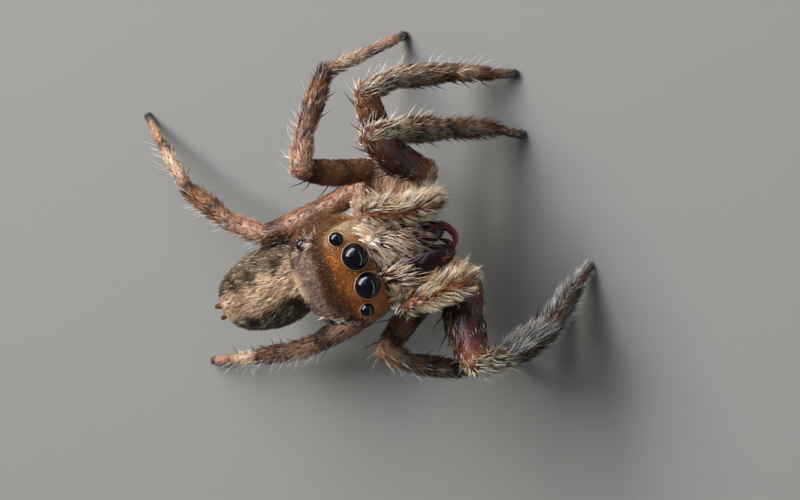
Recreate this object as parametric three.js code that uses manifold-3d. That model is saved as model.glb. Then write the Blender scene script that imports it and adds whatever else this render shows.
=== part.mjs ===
// A jumping spider, life size, as a still model that stands on the tips of its eight legs.
// Millimetres, +Z up. The spider faces -Y, and its left side is +X.
// Shapes are worked out in two frames: the body frame has its origin between the two big front
// eyes and tilts with the head, and the floor frame has the same X and Y with Z = 0 on the floor.

import * as THREE from 'three';
import { ParametricGeometry } from 'three/addons/geometries/ParametricGeometry.js';
import { mergeVertices } from 'three/addons/utils/BufferGeometryUtils.js';
import Module from 'manifold-3d';

const wasm = await Module();
wasm.setup();

// ---- driving dimensions, in millimetres and degrees ----
const BODY_PITCH = 26;                 // the head is carried this much nose-up
const EYE_HEIGHT = 4.63;               // big eyes above the floor
const JOINT_GAP = 0.03;                // clear space between two neighbouring pieces

const BIG_EYE = { radius: 0.325, at: [0.363, 0, 0] };
const FRONT_SIDE_EYE = { radius: 0.175, at: [0.90, 0.16, 0.18] };
const TINY_EYE = { radius: 0.06, at: [1.02, 0.85, 0.40] };
const REAR_EYE = { radius: 0.15, at: [0.97, 1.38, 0.46] };

// carapace outline at stations [distance behind the eyes, value]
const CARAPACE_HALF_WIDTH = [[-0.12, 1.06], [0.3, 1.17], [1.0, 1.26], [1.9, 1.3], [2.8, 1.16], [3.65, 0.8]];
const CARAPACE_TOP = [[-0.12, 0.45], [0.3, 0.56], [1.0, 0.68], [1.9, 0.7], [2.6, 0.4], [3.1, -0.05], [3.65, -0.7]];
const CARAPACE_BOTTOM = [[-0.12, -0.66], [0.3, -0.92], [1.0, -1.2], [1.9, -1.42], [2.8, -1.55], [3.65, -1.6]];
const CARAPACE_SQUARENESS = 2.7;       // 2 is an ellipse, more is boxier
const CARAPACE_CAP = 0.34;             // length over which each end closes

const STERNUM = { half: [0.62, 1.45, 0.42], at: [0, 1.62, -1.98] };
const MOUTHPARTS = { half: [0.5, 0.3, 0.42], at: [0, 0.72, -2.02] };

// the jaws lean forwards, and the pair swings to the spider's right by SWING at the tips
const CHELICERA = { top: [0.4, 0.12, -0.62], tip: [0.3, -0.76, -1.78], rTop: 0.37, rTip: 0.28, belly: 0.05 };
const JAW_SWING = -0.135;
// the left fang stands a little open, the right one is folded under its jaw
const FANG = {
  radius: 0.09,
  taper: 0.72,
  points: {
    1: [[0.44, -0.76, -1.93], [0.08, -0.97, -2.12], [-0.27, -0.86, -1.95]],
    [-1]: [[0.42, -0.66, -1.88], [0.16, -0.72, -2.06], [-0.06, -0.52, -1.92]],
  },
};

// feeler joints: base, knee, tip, in the body frame
const PALP = {
  1: { base: [0.78, 0.5, -1.75], knee: [1.24, -0.2, -0.76], tip: [0.79, -1.25, -1.86] },
  [-1]: { base: [0.78, 0.5, -1.75], knee: [1.2, -0.2, -0.74], tip: [1.19, -1.25, -1.86] },
};
const PALP_RADIUS = { base: 0.27, knee: 0.36, tip: 0.27, belly: 0.03 };

const PEDICEL = { from: [0, 3.3, -1.3], to: [0, 3.95, -1.32], radius: 0.26 };

// abdomen, in the floor frame: front end, rear end, and its outline at stations [share, radius]
const ABDOMEN = { front: [0, 2.9, 1.9], rear: [-0.42, 6.6, 1.95] };
const ABDOMEN_HALF_WIDTH = [[0, 0.7], [0.12, 0.85], [0.3, 0.98], [0.5, 1.06], [0.75, 0.9], [0.92, 0.62], [1, 0.45]];
const ABDOMEN_UP = [[0, 0.8], [0.12, 0.98], [0.3, 1.12], [0.5, 1.12], [0.75, 0.85], [0.92, 0.55], [1, 0.4]];
const ABDOMEN_DOWN = [[0, 0.65], [0.12, 0.76], [0.3, 0.88], [0.5, 0.9], [0.75, 0.74], [0.92, 0.5], [1, 0.36]];
const ABDOMEN_SQUARENESS = 2.1;
const ABDOMEN_CAP = 0.6;               // length over which each end closes
const SPINNERETS = { length: 0.34, radius: 0.25, rTip: 0.2, sunk: 0.12 };

// legs: hip in the body frame; knee, ankle and foot in the floor frame. The first legs are
// swung outwards at the hip, and the second right leg forwards, close behind the first.
const HIP = { 2: [1.5, 1.05, -2.48], 3: [1.75, 2.1, -2.46], 4: [1.35, 2.85, -2.3] };
const COXA_ROOT = { 1: [0.5, 0.75, -2.0], 2: [0.55, 1.35, -2.0], 3: [0.55, 1.95, -2.0], 4: [0.48, 2.6, -1.9] };
const LEGS = {
  L1: { hip: [1.39, -0.07, -2.55], knee: [2.75, -1.2, 3.8], ankle: [2.06, -1.63, 1.37], foot: [1.18, -2.59, 0] },
  L2: { knee: [3.68, -0.8, 2.75], ankle: [3.24, -1.88, 0.8], foot: [2.63, -3.05, 0] },
  L3: { knee: [2.6, 1.02, 3.84], ankle: [4.4, 0.62, 2.02], foot: [4.39, -0.58, 0] },
  L4: { knee: [1.14, 4.12, 2.3], ankle: [2.77, 6.63, 1.34], foot: [4.76, 7.9, 0] },
  R1: { hip: [1.35, -0.1, -2.5], knee: [-3.1, -1.25, 3.6], ankle: [-3.37, -1.96, 1.4], foot: [-2.42, -2.92, 0] },
  R2: { hip: [1.4, 0.75, -2.55], knee: [-3.25, -0.45, 2.7], ankle: [-3.61, -0.75, 1.05], foot: [-3.05, -1.98, 0] },
  R3: { knee: [-2.2, 0.95, 3.8], ankle: [-3.56, 0.48, 2.0], foot: [-4.15, 0.3, 0] },
  R4: { knee: [-1.98, 4.4, 1.85], ankle: [-2.05, 6.85, 1.1], foot: [-2.03, 9.3, 0] },
};
// radii out to the coat: hip, mid-femur, knee, mid-tibia, ankle, mid-metatarsus, foot
const LEG_RADII = {
  1: [0.34, 0.41, 0.35, 0.36, 0.31, 0.29, 0.25],
  2: [0.3, 0.37, 0.31, 0.32, 0.27, 0.26, 0.25],
  3: [0.28, 0.33, 0.29, 0.28, 0.26, 0.25, 0.25],
  4: [0.28, 0.33, 0.29, 0.27, 0.26, 0.25, 0.25],
};
const PATELLA_SHARE = 0.36;            // of the length from knee to ankle
const KNEE_ARCH = 0.2;                 // the patella arches this far off the straight line
const TIP_HEIGHT = 0.19;               // middle of the foot's round end above the floor
const FEMUR_BOW = 0.1;                 // upward bend of the middle of the femur
const FOOT_BOW = 0.06;                 // the same for the metatarsus with the tarsus
const COXA_EXTRA = 0.03;               // the coxa is this much thicker at its root
const ROUND_END = [0.72, 0.7];         // shares of the radius, out and on, of a round end's middle ring

// ---- frames ----
const pitch = THREE.MathUtils.degToRad(BODY_PITCH);
function fromBody([x, y, z]) {
  return new THREE.Vector3(x, y * Math.cos(pitch) + z * Math.sin(pitch),
    z * Math.cos(pitch) - y * Math.sin(pitch) + EYE_HEIGHT);
}
const onSide = (side, [x, y, z]) => [side * x, y, z];

// ---- curves through stations ----
// A smooth curve through [x, value] stations: a cubic between each two, with the slope at a
// station taken from its neighbours.
function through(stations, x) {
  const last = stations.length - 1;
  let i = 0;
  while (i < last - 1 && x > stations[i + 1][0]) i += 1;
  const slope = (k) => {
    const [a, b] = [stations[Math.max(k - 1, 0)], stations[Math.min(k + 1, last)]];
    return (b[1] - a[1]) / (b[0] - a[0]);
  };
  const [[x0, v0], [x1, v1]] = [stations[i], stations[i + 1]];
  const span = x1 - x0;
  const t = (x - x0) / span;
  const [t2, t3] = [t * t, t * t * t];
  return (2 * t3 - 3 * t2 + 1) * v0 + (t3 - 2 * t2 + t) * span * slope(i)
    + (3 * t2 - 2 * t3) * v1 + (t3 - t2) * span * slope(i + 1);
}

// ---- closed solids ----
// A geometry with shared vertices and no collapsed triangles, which the boolean library needs.
function closed(geometry) {
  const bare = geometry.clone();
  bare.deleteAttribute('normal');
  bare.deleteAttribute('uv');
  const merged = mergeVertices(bare, 1e-4);
  const index = merged.index.array;
  const kept = [];
  for (let i = 0; i < index.length; i += 3) {
    const [a, b, c] = index.slice(i, i + 3);
    if (a !== b && b !== c && c !== a) kept.push(a, b, c);
  }
  merged.setIndex(kept);
  return merged;
}

function toSolid(geometry) {
  const mesh = closed(geometry);
  return new wasm.Manifold(new wasm.Mesh({
    numProp: 3,
    vertProperties: new Float32Array(mesh.attributes.position.array),
    triVerts: new Uint32Array(mesh.index.array),
  }));
}

function toGeometry(solid) {
  const mesh = solid.getMesh();
  const geometry = new THREE.BufferGeometry();
  geometry.setAttribute('position', new THREE.BufferAttribute(mesh.vertProperties, 3));
  geometry.setIndex(new THREE.BufferAttribute(mesh.triVerts, 1));
  geometry.computeVertexNormals();
  return geometry;
}

// The same closed shape pushed out along its normals, to cut clear space for a neighbour.
function grown(geometry, gap = JOINT_GAP) {
  const mesh = closed(geometry);
  mesh.computeVertexNormals();
  const { position, normal } = mesh.attributes;
  for (let i = 0; i < position.count; i += 1) {
    position.setXYZ(i, position.getX(i) + gap * normal.getX(i),
      position.getY(i) + gap * normal.getY(i), position.getZ(i) + gap * normal.getZ(i));
  }
  return toSolid(mesh);
}

// A rounded body along Y: its section at each station is a superellipse whose half-width, top
// and bottom are given as functions, and over the length of a cap each end closes like an ellipse.
function loft({ from, to, halfWidth, top, bottom, power, rings, around, cap }) {
  return new ParametricGeometry((u, v, target) => {
    const y = THREE.MathUtils.lerp(from, to, (1 - Math.cos(Math.PI * v)) / 2);
    const inside = Math.min(1, Math.min(y - from, to - y) / cap);
    const swell = Math.sqrt(1 - (1 - inside) ** 2);
    const angle = -2 * Math.PI * u;
    const [c, s] = [Math.cos(angle), Math.sin(angle)];
    const x = Math.sign(c) * Math.abs(c) ** (2 / power);
    const z = Math.sign(s) * Math.abs(s) ** (2 / power);
    const middle = (top(y) + bottom(y)) / 2;
    const half = (top(y) - bottom(y)) / 2;
    target.set(x * halfWidth(y) * swell, y, middle + z * half * swell);
  }, around, rings);
}

// A limb piece between two points: a turned profile with round ends, bellied in the middle and
// bowed upwards, then set along the line from one point to the other.
function limb(from, to, rFrom, rTo, { belly = 0, bow = 0, rings = 3, sides = 9 } = {}) {
  const length = from.distanceTo(to);
  const [out, on] = ROUND_END;
  const profile = [new THREE.Vector2(0, -rFrom), new THREE.Vector2(out * rFrom, -on * rFrom)];
  for (let i = 0; i <= rings; i += 1) {
    const t = i / rings;
    const radius = THREE.MathUtils.lerp(rFrom, rTo, t) + belly * Math.sin(Math.PI * t);
    profile.push(new THREE.Vector2(radius, t * length));
  }
  profile.push(new THREE.Vector2(out * rTo, length + on * rTo), new THREE.Vector2(0, length + rTo));
  const geometry = new THREE.LatheGeometry(profile, sides);
  const { position } = geometry.attributes;
  for (let i = 0; i < position.count; i += 1) {
    const t = THREE.MathUtils.clamp(position.getY(i) / length, 0, 1);
    position.setZ(i, position.getZ(i) + bow * Math.sin(Math.PI * t));
  }
  const axis = to.clone().sub(from).normalize();
  const across = axis.clone().cross(new THREE.Vector3(0, 0, 1)).normalize();
  const above = across.clone().cross(axis);
  geometry.applyMatrix4(new THREE.Matrix4().makeBasis(across, axis, above));
  return geometry.translate(from.x, from.y, from.z);
}

// ---- pieces, each a named solid with the finish it is shown in ----
const FINISH = {
  face: { color: 0xb98545, roughness: 0.8 },
  eye: { color: 0x0a0a0c, roughness: 0.08 },
  horn: { color: 0x2b1512, roughness: 0.3 },
  palp: { color: 0xc2a878, roughness: 0.85 },
  leg: { color: 0x7a5436, roughness: 0.8 },
  paleLeg: { color: 0xa98d68, roughness: 0.8 },
  abdomen: { color: 0xa8916a, roughness: 0.9 },
};

const spider = new THREE.Group();
function addPiece(name, solid, finish) {
  const material = new THREE.MeshStandardMaterial({ ...FINISH[finish], metalness: 0 });
  const mesh = new THREE.Mesh(toGeometry(solid), material);
  mesh.name = name;
  spider.add(mesh);
}

// The part of a solid on the side of a plane that its normal points to.
const keepAhead = (solid, normal, point, gap) => solid.trimByPlane(
  normal.toArray(), normal.dot(point) + gap);

// Trims a chain of limb pieces where they meet, so that each joint is a mitre with a small gap.
function mitred(points, solids) {
  return solids.map((solid, i) => {
    let kept = solid;
    const along = (k) => points[k + 1].clone().sub(points[k]).normalize();
    if (i > 0) {
      const plane = along(i - 1).add(along(i)).normalize();
      kept = keepAhead(kept, plane, points[i], JOINT_GAP / 2);
    }
    if (i < solids.length - 1) {
      const plane = along(i).add(along(i + 1)).normalize().negate();
      kept = keepAhead(kept, plane, points[i + 1], JOINT_GAP / 2);
    }
    return kept;
  });
}

// ---- eyes ----
function eyeGeometry(eye, side, segments) {
  const centre = fromBody(onSide(side, eye.at));
  return new THREE.SphereGeometry(eye.radius, segments, Math.round(segments * 0.6))
    .rotateX(Math.PI / 2).translate(centre.x, centre.y, centre.z);
}

const eyes = [];
for (const [side, letter] of [[1, 'L'], [-1, 'R']]) {
  eyes.push({ name: `eye_front_middle_${letter}`, geometry: eyeGeometry(BIG_EYE, side, 12) });
  eyes.push({ name: `eye_front_side_${letter}`, geometry: eyeGeometry(FRONT_SIDE_EYE, side, 10) });
  eyes.push({ name: `eye_tiny_${letter}`, geometry: eyeGeometry(TINY_EYE, side, 7) });
  eyes.push({ name: `eye_rear_${letter}`, geometry: eyeGeometry(REAR_EYE, side, 10) });
}

// ---- carapace, with a socket for each eye ----
function carapaceGeometry() {
  const geometry = loft({
    from: CARAPACE_TOP[0][0], to: CARAPACE_TOP.at(-1)[0],
    halfWidth: (y) => through(CARAPACE_HALF_WIDTH, y),
    top: (y) => through(CARAPACE_TOP, y),
    bottom: (y) => through(CARAPACE_BOTTOM, y),
    power: CARAPACE_SQUARENESS, rings: 12, around: 19, cap: CARAPACE_CAP,
  });
  return geometry.rotateX(-pitch).translate(0, 0, EYE_HEIGHT);
}

// ---- mouth, breastplate and hips ----
function blobGeometry({ half, at }) {
  const centre = fromBody(at);
  return new THREE.SphereGeometry(1, 11, 6).rotateX(Math.PI / 2).scale(...half)
    .rotateX(-pitch).translate(centre.x, centre.y, centre.z);
}

// ---- jaws ----
// A point of the jaws: mirrored to its side, and swung sideways the more the lower it lies.
function fromJaws([x, y, z]) {
  const share = (CHELICERA.top[2] - z) / (CHELICERA.top[2] - CHELICERA.tip[2]);
  return fromBody([x + JAW_SWING * share, y, z]);
}

function cheliceraGeometry(side) {
  const [top, tip] = [CHELICERA.top, CHELICERA.tip].map((p) => fromJaws(onSide(side, p)));
  return limb(top, tip, CHELICERA.rTop, CHELICERA.rTip, { belly: CHELICERA.belly, rings: 3, sides: 12 });
}

function fangSolid(side) {
  const points = FANG.points[side].map((p) => fromJaws(onSide(side, p)));
  const curve = new THREE.CatmullRomCurve3(points);
  const stations = 3;
  let solid = null;
  for (let i = 0; i < stations; i += 1) {
    const [t0, t1] = [i / stations, (i + 1) / stations];
    const radius = (t) => FANG.radius * (1 - FANG.taper * t);
    const piece = toSolid(limb(curve.getPoint(t0), curve.getPoint(t1), radius(t0), radius(t1),
      { rings: 1, sides: 5 }));
    solid = solid ? solid.add(piece) : piece;
  }
  return solid;
}

// ---- feelers ----
function palp(side) {
  const { base, knee, tip } = PALP[side];
  const points = [base, knee, tip].map((p) => fromBody(onSide(side, p)));
  const upper = limb(points[0], points[1], PALP_RADIUS.base, PALP_RADIUS.knee);
  const lower = limb(points[1], points[2], PALP_RADIUS.knee, PALP_RADIUS.tip,
    { belly: PALP_RADIUS.belly });
  return { room: grown(upper), solids: mitred(points, [toSolid(upper), toSolid(lower)]) };
}

// ---- legs ----
function legJoints(name) {
  const [side, number] = [name[0] === 'L' ? 1 : -1, Number(name[1])];
  const hip = fromBody(onSide(side, LEGS[name].hip ?? HIP[number]));
  const [knee, ankle, foot] = ['knee', 'ankle', 'foot'].map((k) => new THREE.Vector3(...LEGS[name][k]));
  const outward = knee.clone().sub(hip).normalize();
  const shin = knee.clone().lerp(ankle, PATELLA_SHARE).addScaledVector(outward, KNEE_ARCH);
  foot.z = TIP_HEIGHT;
  return { side, number, hip, knee, shin, ankle, foot };
}

// The five pieces of a leg: hip joint, femur, patella, tibia, and metatarsus with tarsus. The
// foot is cut flat where it stands, and in a sharply bent leg the femur makes room for the tibia.
function legSolids(name) {
  const { side, number, hip, knee, shin, ankle, foot } = legJoints(name);
  const root = fromBody(onSide(side, COXA_ROOT[number]));
  const [rHip, rFemur, rKnee, rTibia, rAnkle, rMetatarsus, rFoot] = LEG_RADII[number];
  const belly = (middle, a, b) => middle - (a + b) / 2;
  const geometries = [
    limb(root, hip, rHip + COXA_EXTRA, rHip, { rings: 1, sides: 8 }),
    limb(hip, knee, rHip, rKnee, { belly: belly(rFemur, rHip, rKnee), bow: FEMUR_BOW }),
    limb(knee, shin, rKnee, rTibia, { rings: 2 }),
    limb(shin, ankle, rTibia, rAnkle),
    limb(ankle, foot, rAnkle, rFoot, { belly: belly(rMetatarsus, rAnkle, rFoot), bow: FOOT_BOW }),
  ];
  const solids = geometries.map(toSolid);
  solids[1] = solids[1].subtract(grown(geometries[3]));
  const up = new THREE.Vector3(0, 0, 1);
  solids[4] = keepAhead(solids[4], up, new THREE.Vector3(), 0);
  return mitred([root, hip, knee, shin, ankle, foot], solids);
}

// ---- abdomen and spinnerets ----
const abdomenFront = new THREE.Vector3(...ABDOMEN.front);
const abdomenRear = new THREE.Vector3(...ABDOMEN.rear);
function abdomenGeometry() {
  const length = abdomenFront.distanceTo(abdomenRear);
  const share = (y) => y / length;
  const geometry = loft({
    from: 0, to: length,
    halfWidth: (y) => through(ABDOMEN_HALF_WIDTH, share(y)),
    top: (y) => through(ABDOMEN_UP, share(y)),
    bottom: (y) => -through(ABDOMEN_DOWN, share(y)),
    power: ABDOMEN_SQUARENESS, rings: 12, around: 20, cap: ABDOMEN_CAP,
  });
  const axis = abdomenRear.clone().sub(abdomenFront).normalize();
  const across = axis.clone().cross(new THREE.Vector3(0, 0, 1)).normalize();
  geometry.applyMatrix4(new THREE.Matrix4().makeBasis(across, axis, across.clone().cross(axis)));
  return geometry.translate(...abdomenFront.toArray());
}

function spinneretGeometry() {
  const axis = abdomenRear.clone().sub(abdomenFront).normalize();
  const from = abdomenRear.clone().addScaledVector(axis, -SPINNERETS.sunk);
  const to = from.clone().addScaledVector(axis, SPINNERETS.length);
  return limb(from, to, SPINNERETS.radius, SPINNERETS.rTip, { rings: 2 });
}

// ---- putting it together ----
const eyeRoom = eyes.map(({ geometry }) => grown(geometry, JOINT_GAP / 2));
const carapaceRoom = grown(carapaceGeometry());
let carapace = toSolid(carapaceGeometry());
for (const room of eyeRoom) carapace = carapace.subtract(room);

const legs = Object.keys(LEGS).map((name) => ({ name, solids: legSolids(name) }));
let breastplate = toSolid(blobGeometry(STERNUM));
for (const { solids } of legs) breastplate = breastplate.add(solids[0]);
const palps = { 1: palp(1), [-1]: palp(-1) };
for (const room of [carapaceRoom, palps[1].room, palps[-1].room]) breastplate = breastplate.subtract(room);

const mouthRoom = grown(blobGeometry(MOUTHPARTS));
const jawRoom = { 1: grown(cheliceraGeometry(1)), [-1]: grown(cheliceraGeometry(-1)) };
const mouth = toSolid(blobGeometry(MOUTHPARTS)).subtract(jawRoom[1]).subtract(jawRoom[-1]).subtract(carapaceRoom);

// the plane between the jaws holds their middle line, and looks to the spider's left
const [jawsTop, jawsTip] = [CHELICERA.top, CHELICERA.tip].map((p) => fromJaws(onSide(0, p)));
const jawLine = jawsTip.clone().sub(jawsTop).normalize();
const leftward = new THREE.Vector3(1, 0, 0);
leftward.addScaledVector(jawLine, -leftward.dot(jawLine)).normalize();

addPiece('carapace', carapace, 'face');
for (const { name, geometry } of eyes) addPiece(name, toSolid(geometry), 'eye');
addPiece('breastplate_hips', breastplate.subtract(mouthRoom), 'leg');
addPiece('mouthparts', mouth, 'horn');

for (const [side, letter] of [[1, 'L'], [-1, 'R']]) {
  const jaw = toSolid(cheliceraGeometry(side)).subtract(carapaceRoom);
  const outward = leftward.clone().multiplyScalar(side);
  addPiece(`chelicera_${letter}`, keepAhead(jaw, outward, jawsTop, JOINT_GAP / 2), 'horn');
  addPiece(`fang_${letter}`, fangSolid(side).subtract(jawRoom[1]).subtract(jawRoom[-1]), 'horn');
  const [upper, lower] = palps[side].solids.map((solid) => solid.subtract(jawRoom[side])
    .subtract(carapaceRoom).subtract(mouthRoom));
  addPiece(`palp_${letter}_upper`, upper, 'palp');
  addPiece(`palp_${letter}_lower`, lower, 'palp');
}

const LEG_PIECES = [['femur', 'leg'], ['patella', 'paleLeg'], ['tibia', 'leg'], ['metatarsus_tarsus', 'paleLeg']];
for (const { name, solids } of legs) {
  LEG_PIECES.forEach(([piece, finish], i) => addPiece(`leg_${name}_${piece}`, solids[i + 1], finish));
}

const abdomenRoom = grown(abdomenGeometry());
const pedicel = limb(fromBody(PEDICEL.from), fromBody(PEDICEL.to), PEDICEL.radius, PEDICEL.radius, { rings: 2 });
addPiece('pedicel', toSolid(pedicel).subtract(carapaceRoom).subtract(abdomenRoom), 'leg');
addPiece('abdomen', toSolid(abdomenGeometry()), 'abdomen');
addPiece('spinnerets', toSolid(spinneretGeometry()).subtract(abdomenRoom), 'leg');

// The origin is under the middle of the spider, on the floor.
const box = new THREE.Box3().setFromObject(spider);
const centre = box.getCenter(new THREE.Vector3());
spider.position.set(-centre.x, -centre.y, -box.min.z);
spider.updateMatrixWorld(true);

export default spider;
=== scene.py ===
# %% [markdown]
# # A jumping spider, life size
#
# The spider stands on the tips of its eight legs with its head raised. It is a museum model about
# thirteen millimetres long, so every length below is in millimetres and is turned to metres only
# when a mesh is made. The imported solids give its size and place. The looks are made here: one
# skin, eyes like glass beads, polished jaws, and a coat of separate hairs.

# %% Load the frame
import math

import bpy
import numpy as np
from mathutils import Matrix, Vector


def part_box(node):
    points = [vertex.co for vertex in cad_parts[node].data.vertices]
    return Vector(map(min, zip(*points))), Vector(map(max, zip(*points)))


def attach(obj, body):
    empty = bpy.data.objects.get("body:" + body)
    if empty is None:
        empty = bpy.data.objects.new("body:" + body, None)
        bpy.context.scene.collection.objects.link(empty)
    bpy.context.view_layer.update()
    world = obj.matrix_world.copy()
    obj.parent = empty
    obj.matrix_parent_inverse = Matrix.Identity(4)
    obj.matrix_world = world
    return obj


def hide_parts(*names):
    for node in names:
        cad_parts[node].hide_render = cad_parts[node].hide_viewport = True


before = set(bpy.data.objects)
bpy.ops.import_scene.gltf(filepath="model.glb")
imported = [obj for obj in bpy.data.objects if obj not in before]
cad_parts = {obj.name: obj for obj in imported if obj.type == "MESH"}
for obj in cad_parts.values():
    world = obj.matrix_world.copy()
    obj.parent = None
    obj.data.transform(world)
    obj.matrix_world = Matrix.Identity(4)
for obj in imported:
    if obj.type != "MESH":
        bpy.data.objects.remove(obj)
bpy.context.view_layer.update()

MM = 0.001

# %% [markdown]
# Shapes are worked out in two frames, as a maker would measure a specimen. The body frame has its
# origin between the two big front eyes and tilts with the head: +X is the spider's left, +Y runs
# to its tail and +Z is its back. The floor frame has the same X and Y, with Z = 0 on the floor.
# The boxes of the big eyes say where both frames lie in the model.

# %% The two frames
BODY_PITCH = math.radians(26)
COS, SIN = math.cos(BODY_PITCH), math.sin(BODY_PITCH)
NOSE_UP = np.array([[1, 0, 0], [0, COS, -SIN], [0, SIN, COS]])
UP = np.array([0.0, 0.0, 1.0])
EYE_NODES = [f"eye_front_middle_{side}" for side in "LR"]
eyes_middle = np.mean([corner for n in EYE_NODES for corner in np.array(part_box(n))], axis=0) / MM


def unit(v):
    """Vectors scaled to length one, along the last axis."""
    return v / np.maximum(np.linalg.norm(v, axis=-1, keepdims=True), 1e-12)


def turn_body(v):
    """Directions in the body frame, turned nose-up about X by the pitch."""
    return np.asarray(v, float) @ NOSE_UP


def from_body(p):
    """Points in the body frame, turned and moved to the eyes' place in the model."""
    return turn_body(p) + eyes_middle


def to_body(p):
    """Points of the model, seen from the body frame."""
    return (p - eyes_middle) @ NOSE_UP.T


def from_floor(p):
    """Points in the floor frame, moved to the model's own X and Y."""
    return p + eyes_middle * (1, 1, 0)


print("between the eyes, mm:", eyes_middle.round(3))

# %% [markdown]
# ## The camera
#
# The camera looks down at the face from in front and above, turned far over on its side, because
# the living spider hung head-down on a wall. A long lens 55 mm away keeps the perspective of a
# close-up of something so small.

# %% Camera
CAMERA_AT = (8.15, -33.18, 47.73)      # floor frame, mm
VIEW_RIGHT = np.array([-0.3972, -0.7618, -0.5112])
VIEW_UP = np.array([0.9054, -0.2355, -0.3525])
VIEW_WIDTH = 18.56                     # mm across at the eyes
EYES_RIGHT, EYES_UP = -0.905, -0.487   # the eyes' place from the middle of the view, mm
SENSOR = 36.0


def look_at(place, target, up):
    """A matrix that stands at place, looks at target and keeps up as near as it can."""
    back = (place - target).normalized()
    right = up.cross(back).normalized()
    turned = Matrix((right, back.cross(right), back)).transposed().to_4x4()
    return Matrix.Translation(place) @ turned


def add_object(data):
    """Puts a mesh, light or camera in the scene as an object at the origin."""
    made = bpy.data.objects.new(data.name, data)
    bpy.context.scene.collection.objects.link(made)
    return made


camera = add_object(bpy.data.cameras.new("camera"))
camera_at = from_floor(CAMERA_AT)
aim = eyes_middle - VIEW_RIGHT * EYES_RIGHT - VIEW_UP * EYES_UP
camera.matrix_world = look_at(Vector(camera_at * MM), Vector(aim * MM), Vector(VIEW_UP))
distance = float(np.linalg.norm(camera_at - eyes_middle))
camera.data.sensor_width = SENSOR
camera.data.lens = SENSOR * distance / VIEW_WIDTH
camera.data.clip_start, camera.data.clip_end = 0.002, 5.0
bpy.context.scene.camera = camera
bpy.context.scene.view_settings.view_transform = "Standard"
print("lens, mm:", round(camera.data.lens, 1), "distance, mm:", round(distance, 1))

# %% [markdown]
# ## Light and floor
#
# Four soft boxes and a pale floor of matt board, as in a small product studio. The key light on
# the spider's left is a strip, so that it puts a window-shaped glint along the upper edge of each
# eye. A weak blue strip beside it is the sky in that window, and a wide warm disc round both fills
# the shadows. A long thin strip low on the other side draws the pale crescent opposite the glint.

# %% Lights
def linear(hex_colour):
    """An sRGB hex colour as linear red, green and blue."""
    value = np.array([int(hex_colour[i:i + 2], 16) for i in (1, 3, 5)]) / 255
    return np.where(value <= 0.04045, value / 12.92, ((value + 0.055) / 1.055) ** 2.4)


KEY, BELOW_KEY, LOW = (0.88, 0.07, 0.46), (0.82, -0.13, 0.55), (-0.44, -0.89, 0.05)
ALONG_BROW = (0.26, 0.74, -0.6)        # up for the strips that lie along the upper edge of an eye
LEVEL = (0.1, 0.2, 1)
LIGHTS = {     # direction from the eyes, distance, length and height in mm, watts, colour, up
    "key_window": (KEY, 148, 220, 68, 0.74, "#fdfcf6", ALONG_BROW),
    "key_sky": (BELOW_KEY, 150, 240, 60, 0.13, "#2d5cff", ALONG_BROW),
    "key_glow": (KEY, 152, 250, None, 0.15, "#f6e6cc", LEVEL),
    "low_strip": (LOW, 150, 420, 18, 0.14, "#c4e8ea", LEVEL)}
for name, (direction, away, long_, high, watts, colour, up) in LIGHTS.items():
    light = add_object(bpy.data.lights.new(name, "AREA"))
    light.data.energy, light.data.color = watts, linear(colour)
    light.data.shape = "RECTANGLE" if high else "DISK"
    light.data.size, light.data.size_y = long_ * MM, (high or long_) * MM
    place = Vector((eyes_middle + unit(np.array(direction)) * away) * MM)
    light.matrix_world = look_at(place, Vector(eyes_middle * MM), Vector(up))

STUDIO_GREY, STUDIO_STRENGTH = "#dcdfe3", 0.24
world = bpy.data.worlds.new("studio")
world.use_nodes = True
background = world.node_tree.nodes["Background"].inputs
background["Color"].default_value = (*linear(STUDIO_GREY), 1)
background["Strength"].default_value = STUDIO_STRENGTH
bpy.context.scene.world = world
print("lights:", len(LIGHTS))


# %% Materials and floor
def new_material(name):
    """An empty node material."""
    material = bpy.data.materials.new(name)
    material.use_nodes = True
    material.node_tree.nodes.clear()
    return material


def add_node(material, kind, inputs=(), **settings):
    """Adds a shader node, sets its own settings, and sets or links its inputs."""
    made = material.node_tree.nodes.new("ShaderNode" + kind)
    for name, value in settings.items():
        setattr(made, name, value)
    for name, value in dict(inputs).items():
        if isinstance(value, bpy.types.NodeSocket):
            material.node_tree.links.new(value, made.inputs[name])
        else:
            made.inputs[name].default_value = value
    return made


def finish_material(material, inputs):
    """Adds the Principled shader with its inputs, and the output that it goes to."""
    shader = add_node(material, "BsdfPrincipled", inputs)
    add_node(material, "OutputMaterial", {"Surface": shader.outputs[0]})
    return material


FLOOR_HALF = 400.0                     # mm
floor_mesh = bpy.data.meshes.new("floor")
corners = [(x * FLOOR_HALF * MM, y * FLOOR_HALF * MM, 0) for x, y in ((-1, -1), (1, -1), (1, 1), (-1, 1))]
floor_mesh.from_pydata(corners, [], [(0, 1, 2, 3)])
floor_mesh.materials.append(finish_material(
    new_material("matt_board"), {"Base Color": (*linear("#7f7e77"), 1), "Roughness": 0.9}))
floor = add_object(floor_mesh)
print("floor, mm:", 2 * FLOOR_HALF)

# %% [markdown]
# ## Shells
#
# Every part of the skin starts as a closed shell: a function of two numbers, u once round the
# part and v from one end to the other, sampled on a grid. The grid's ends close in a point. The
# same function later says where each hair is rooted and which way it lies, so skin and coat
# always agree.

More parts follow.
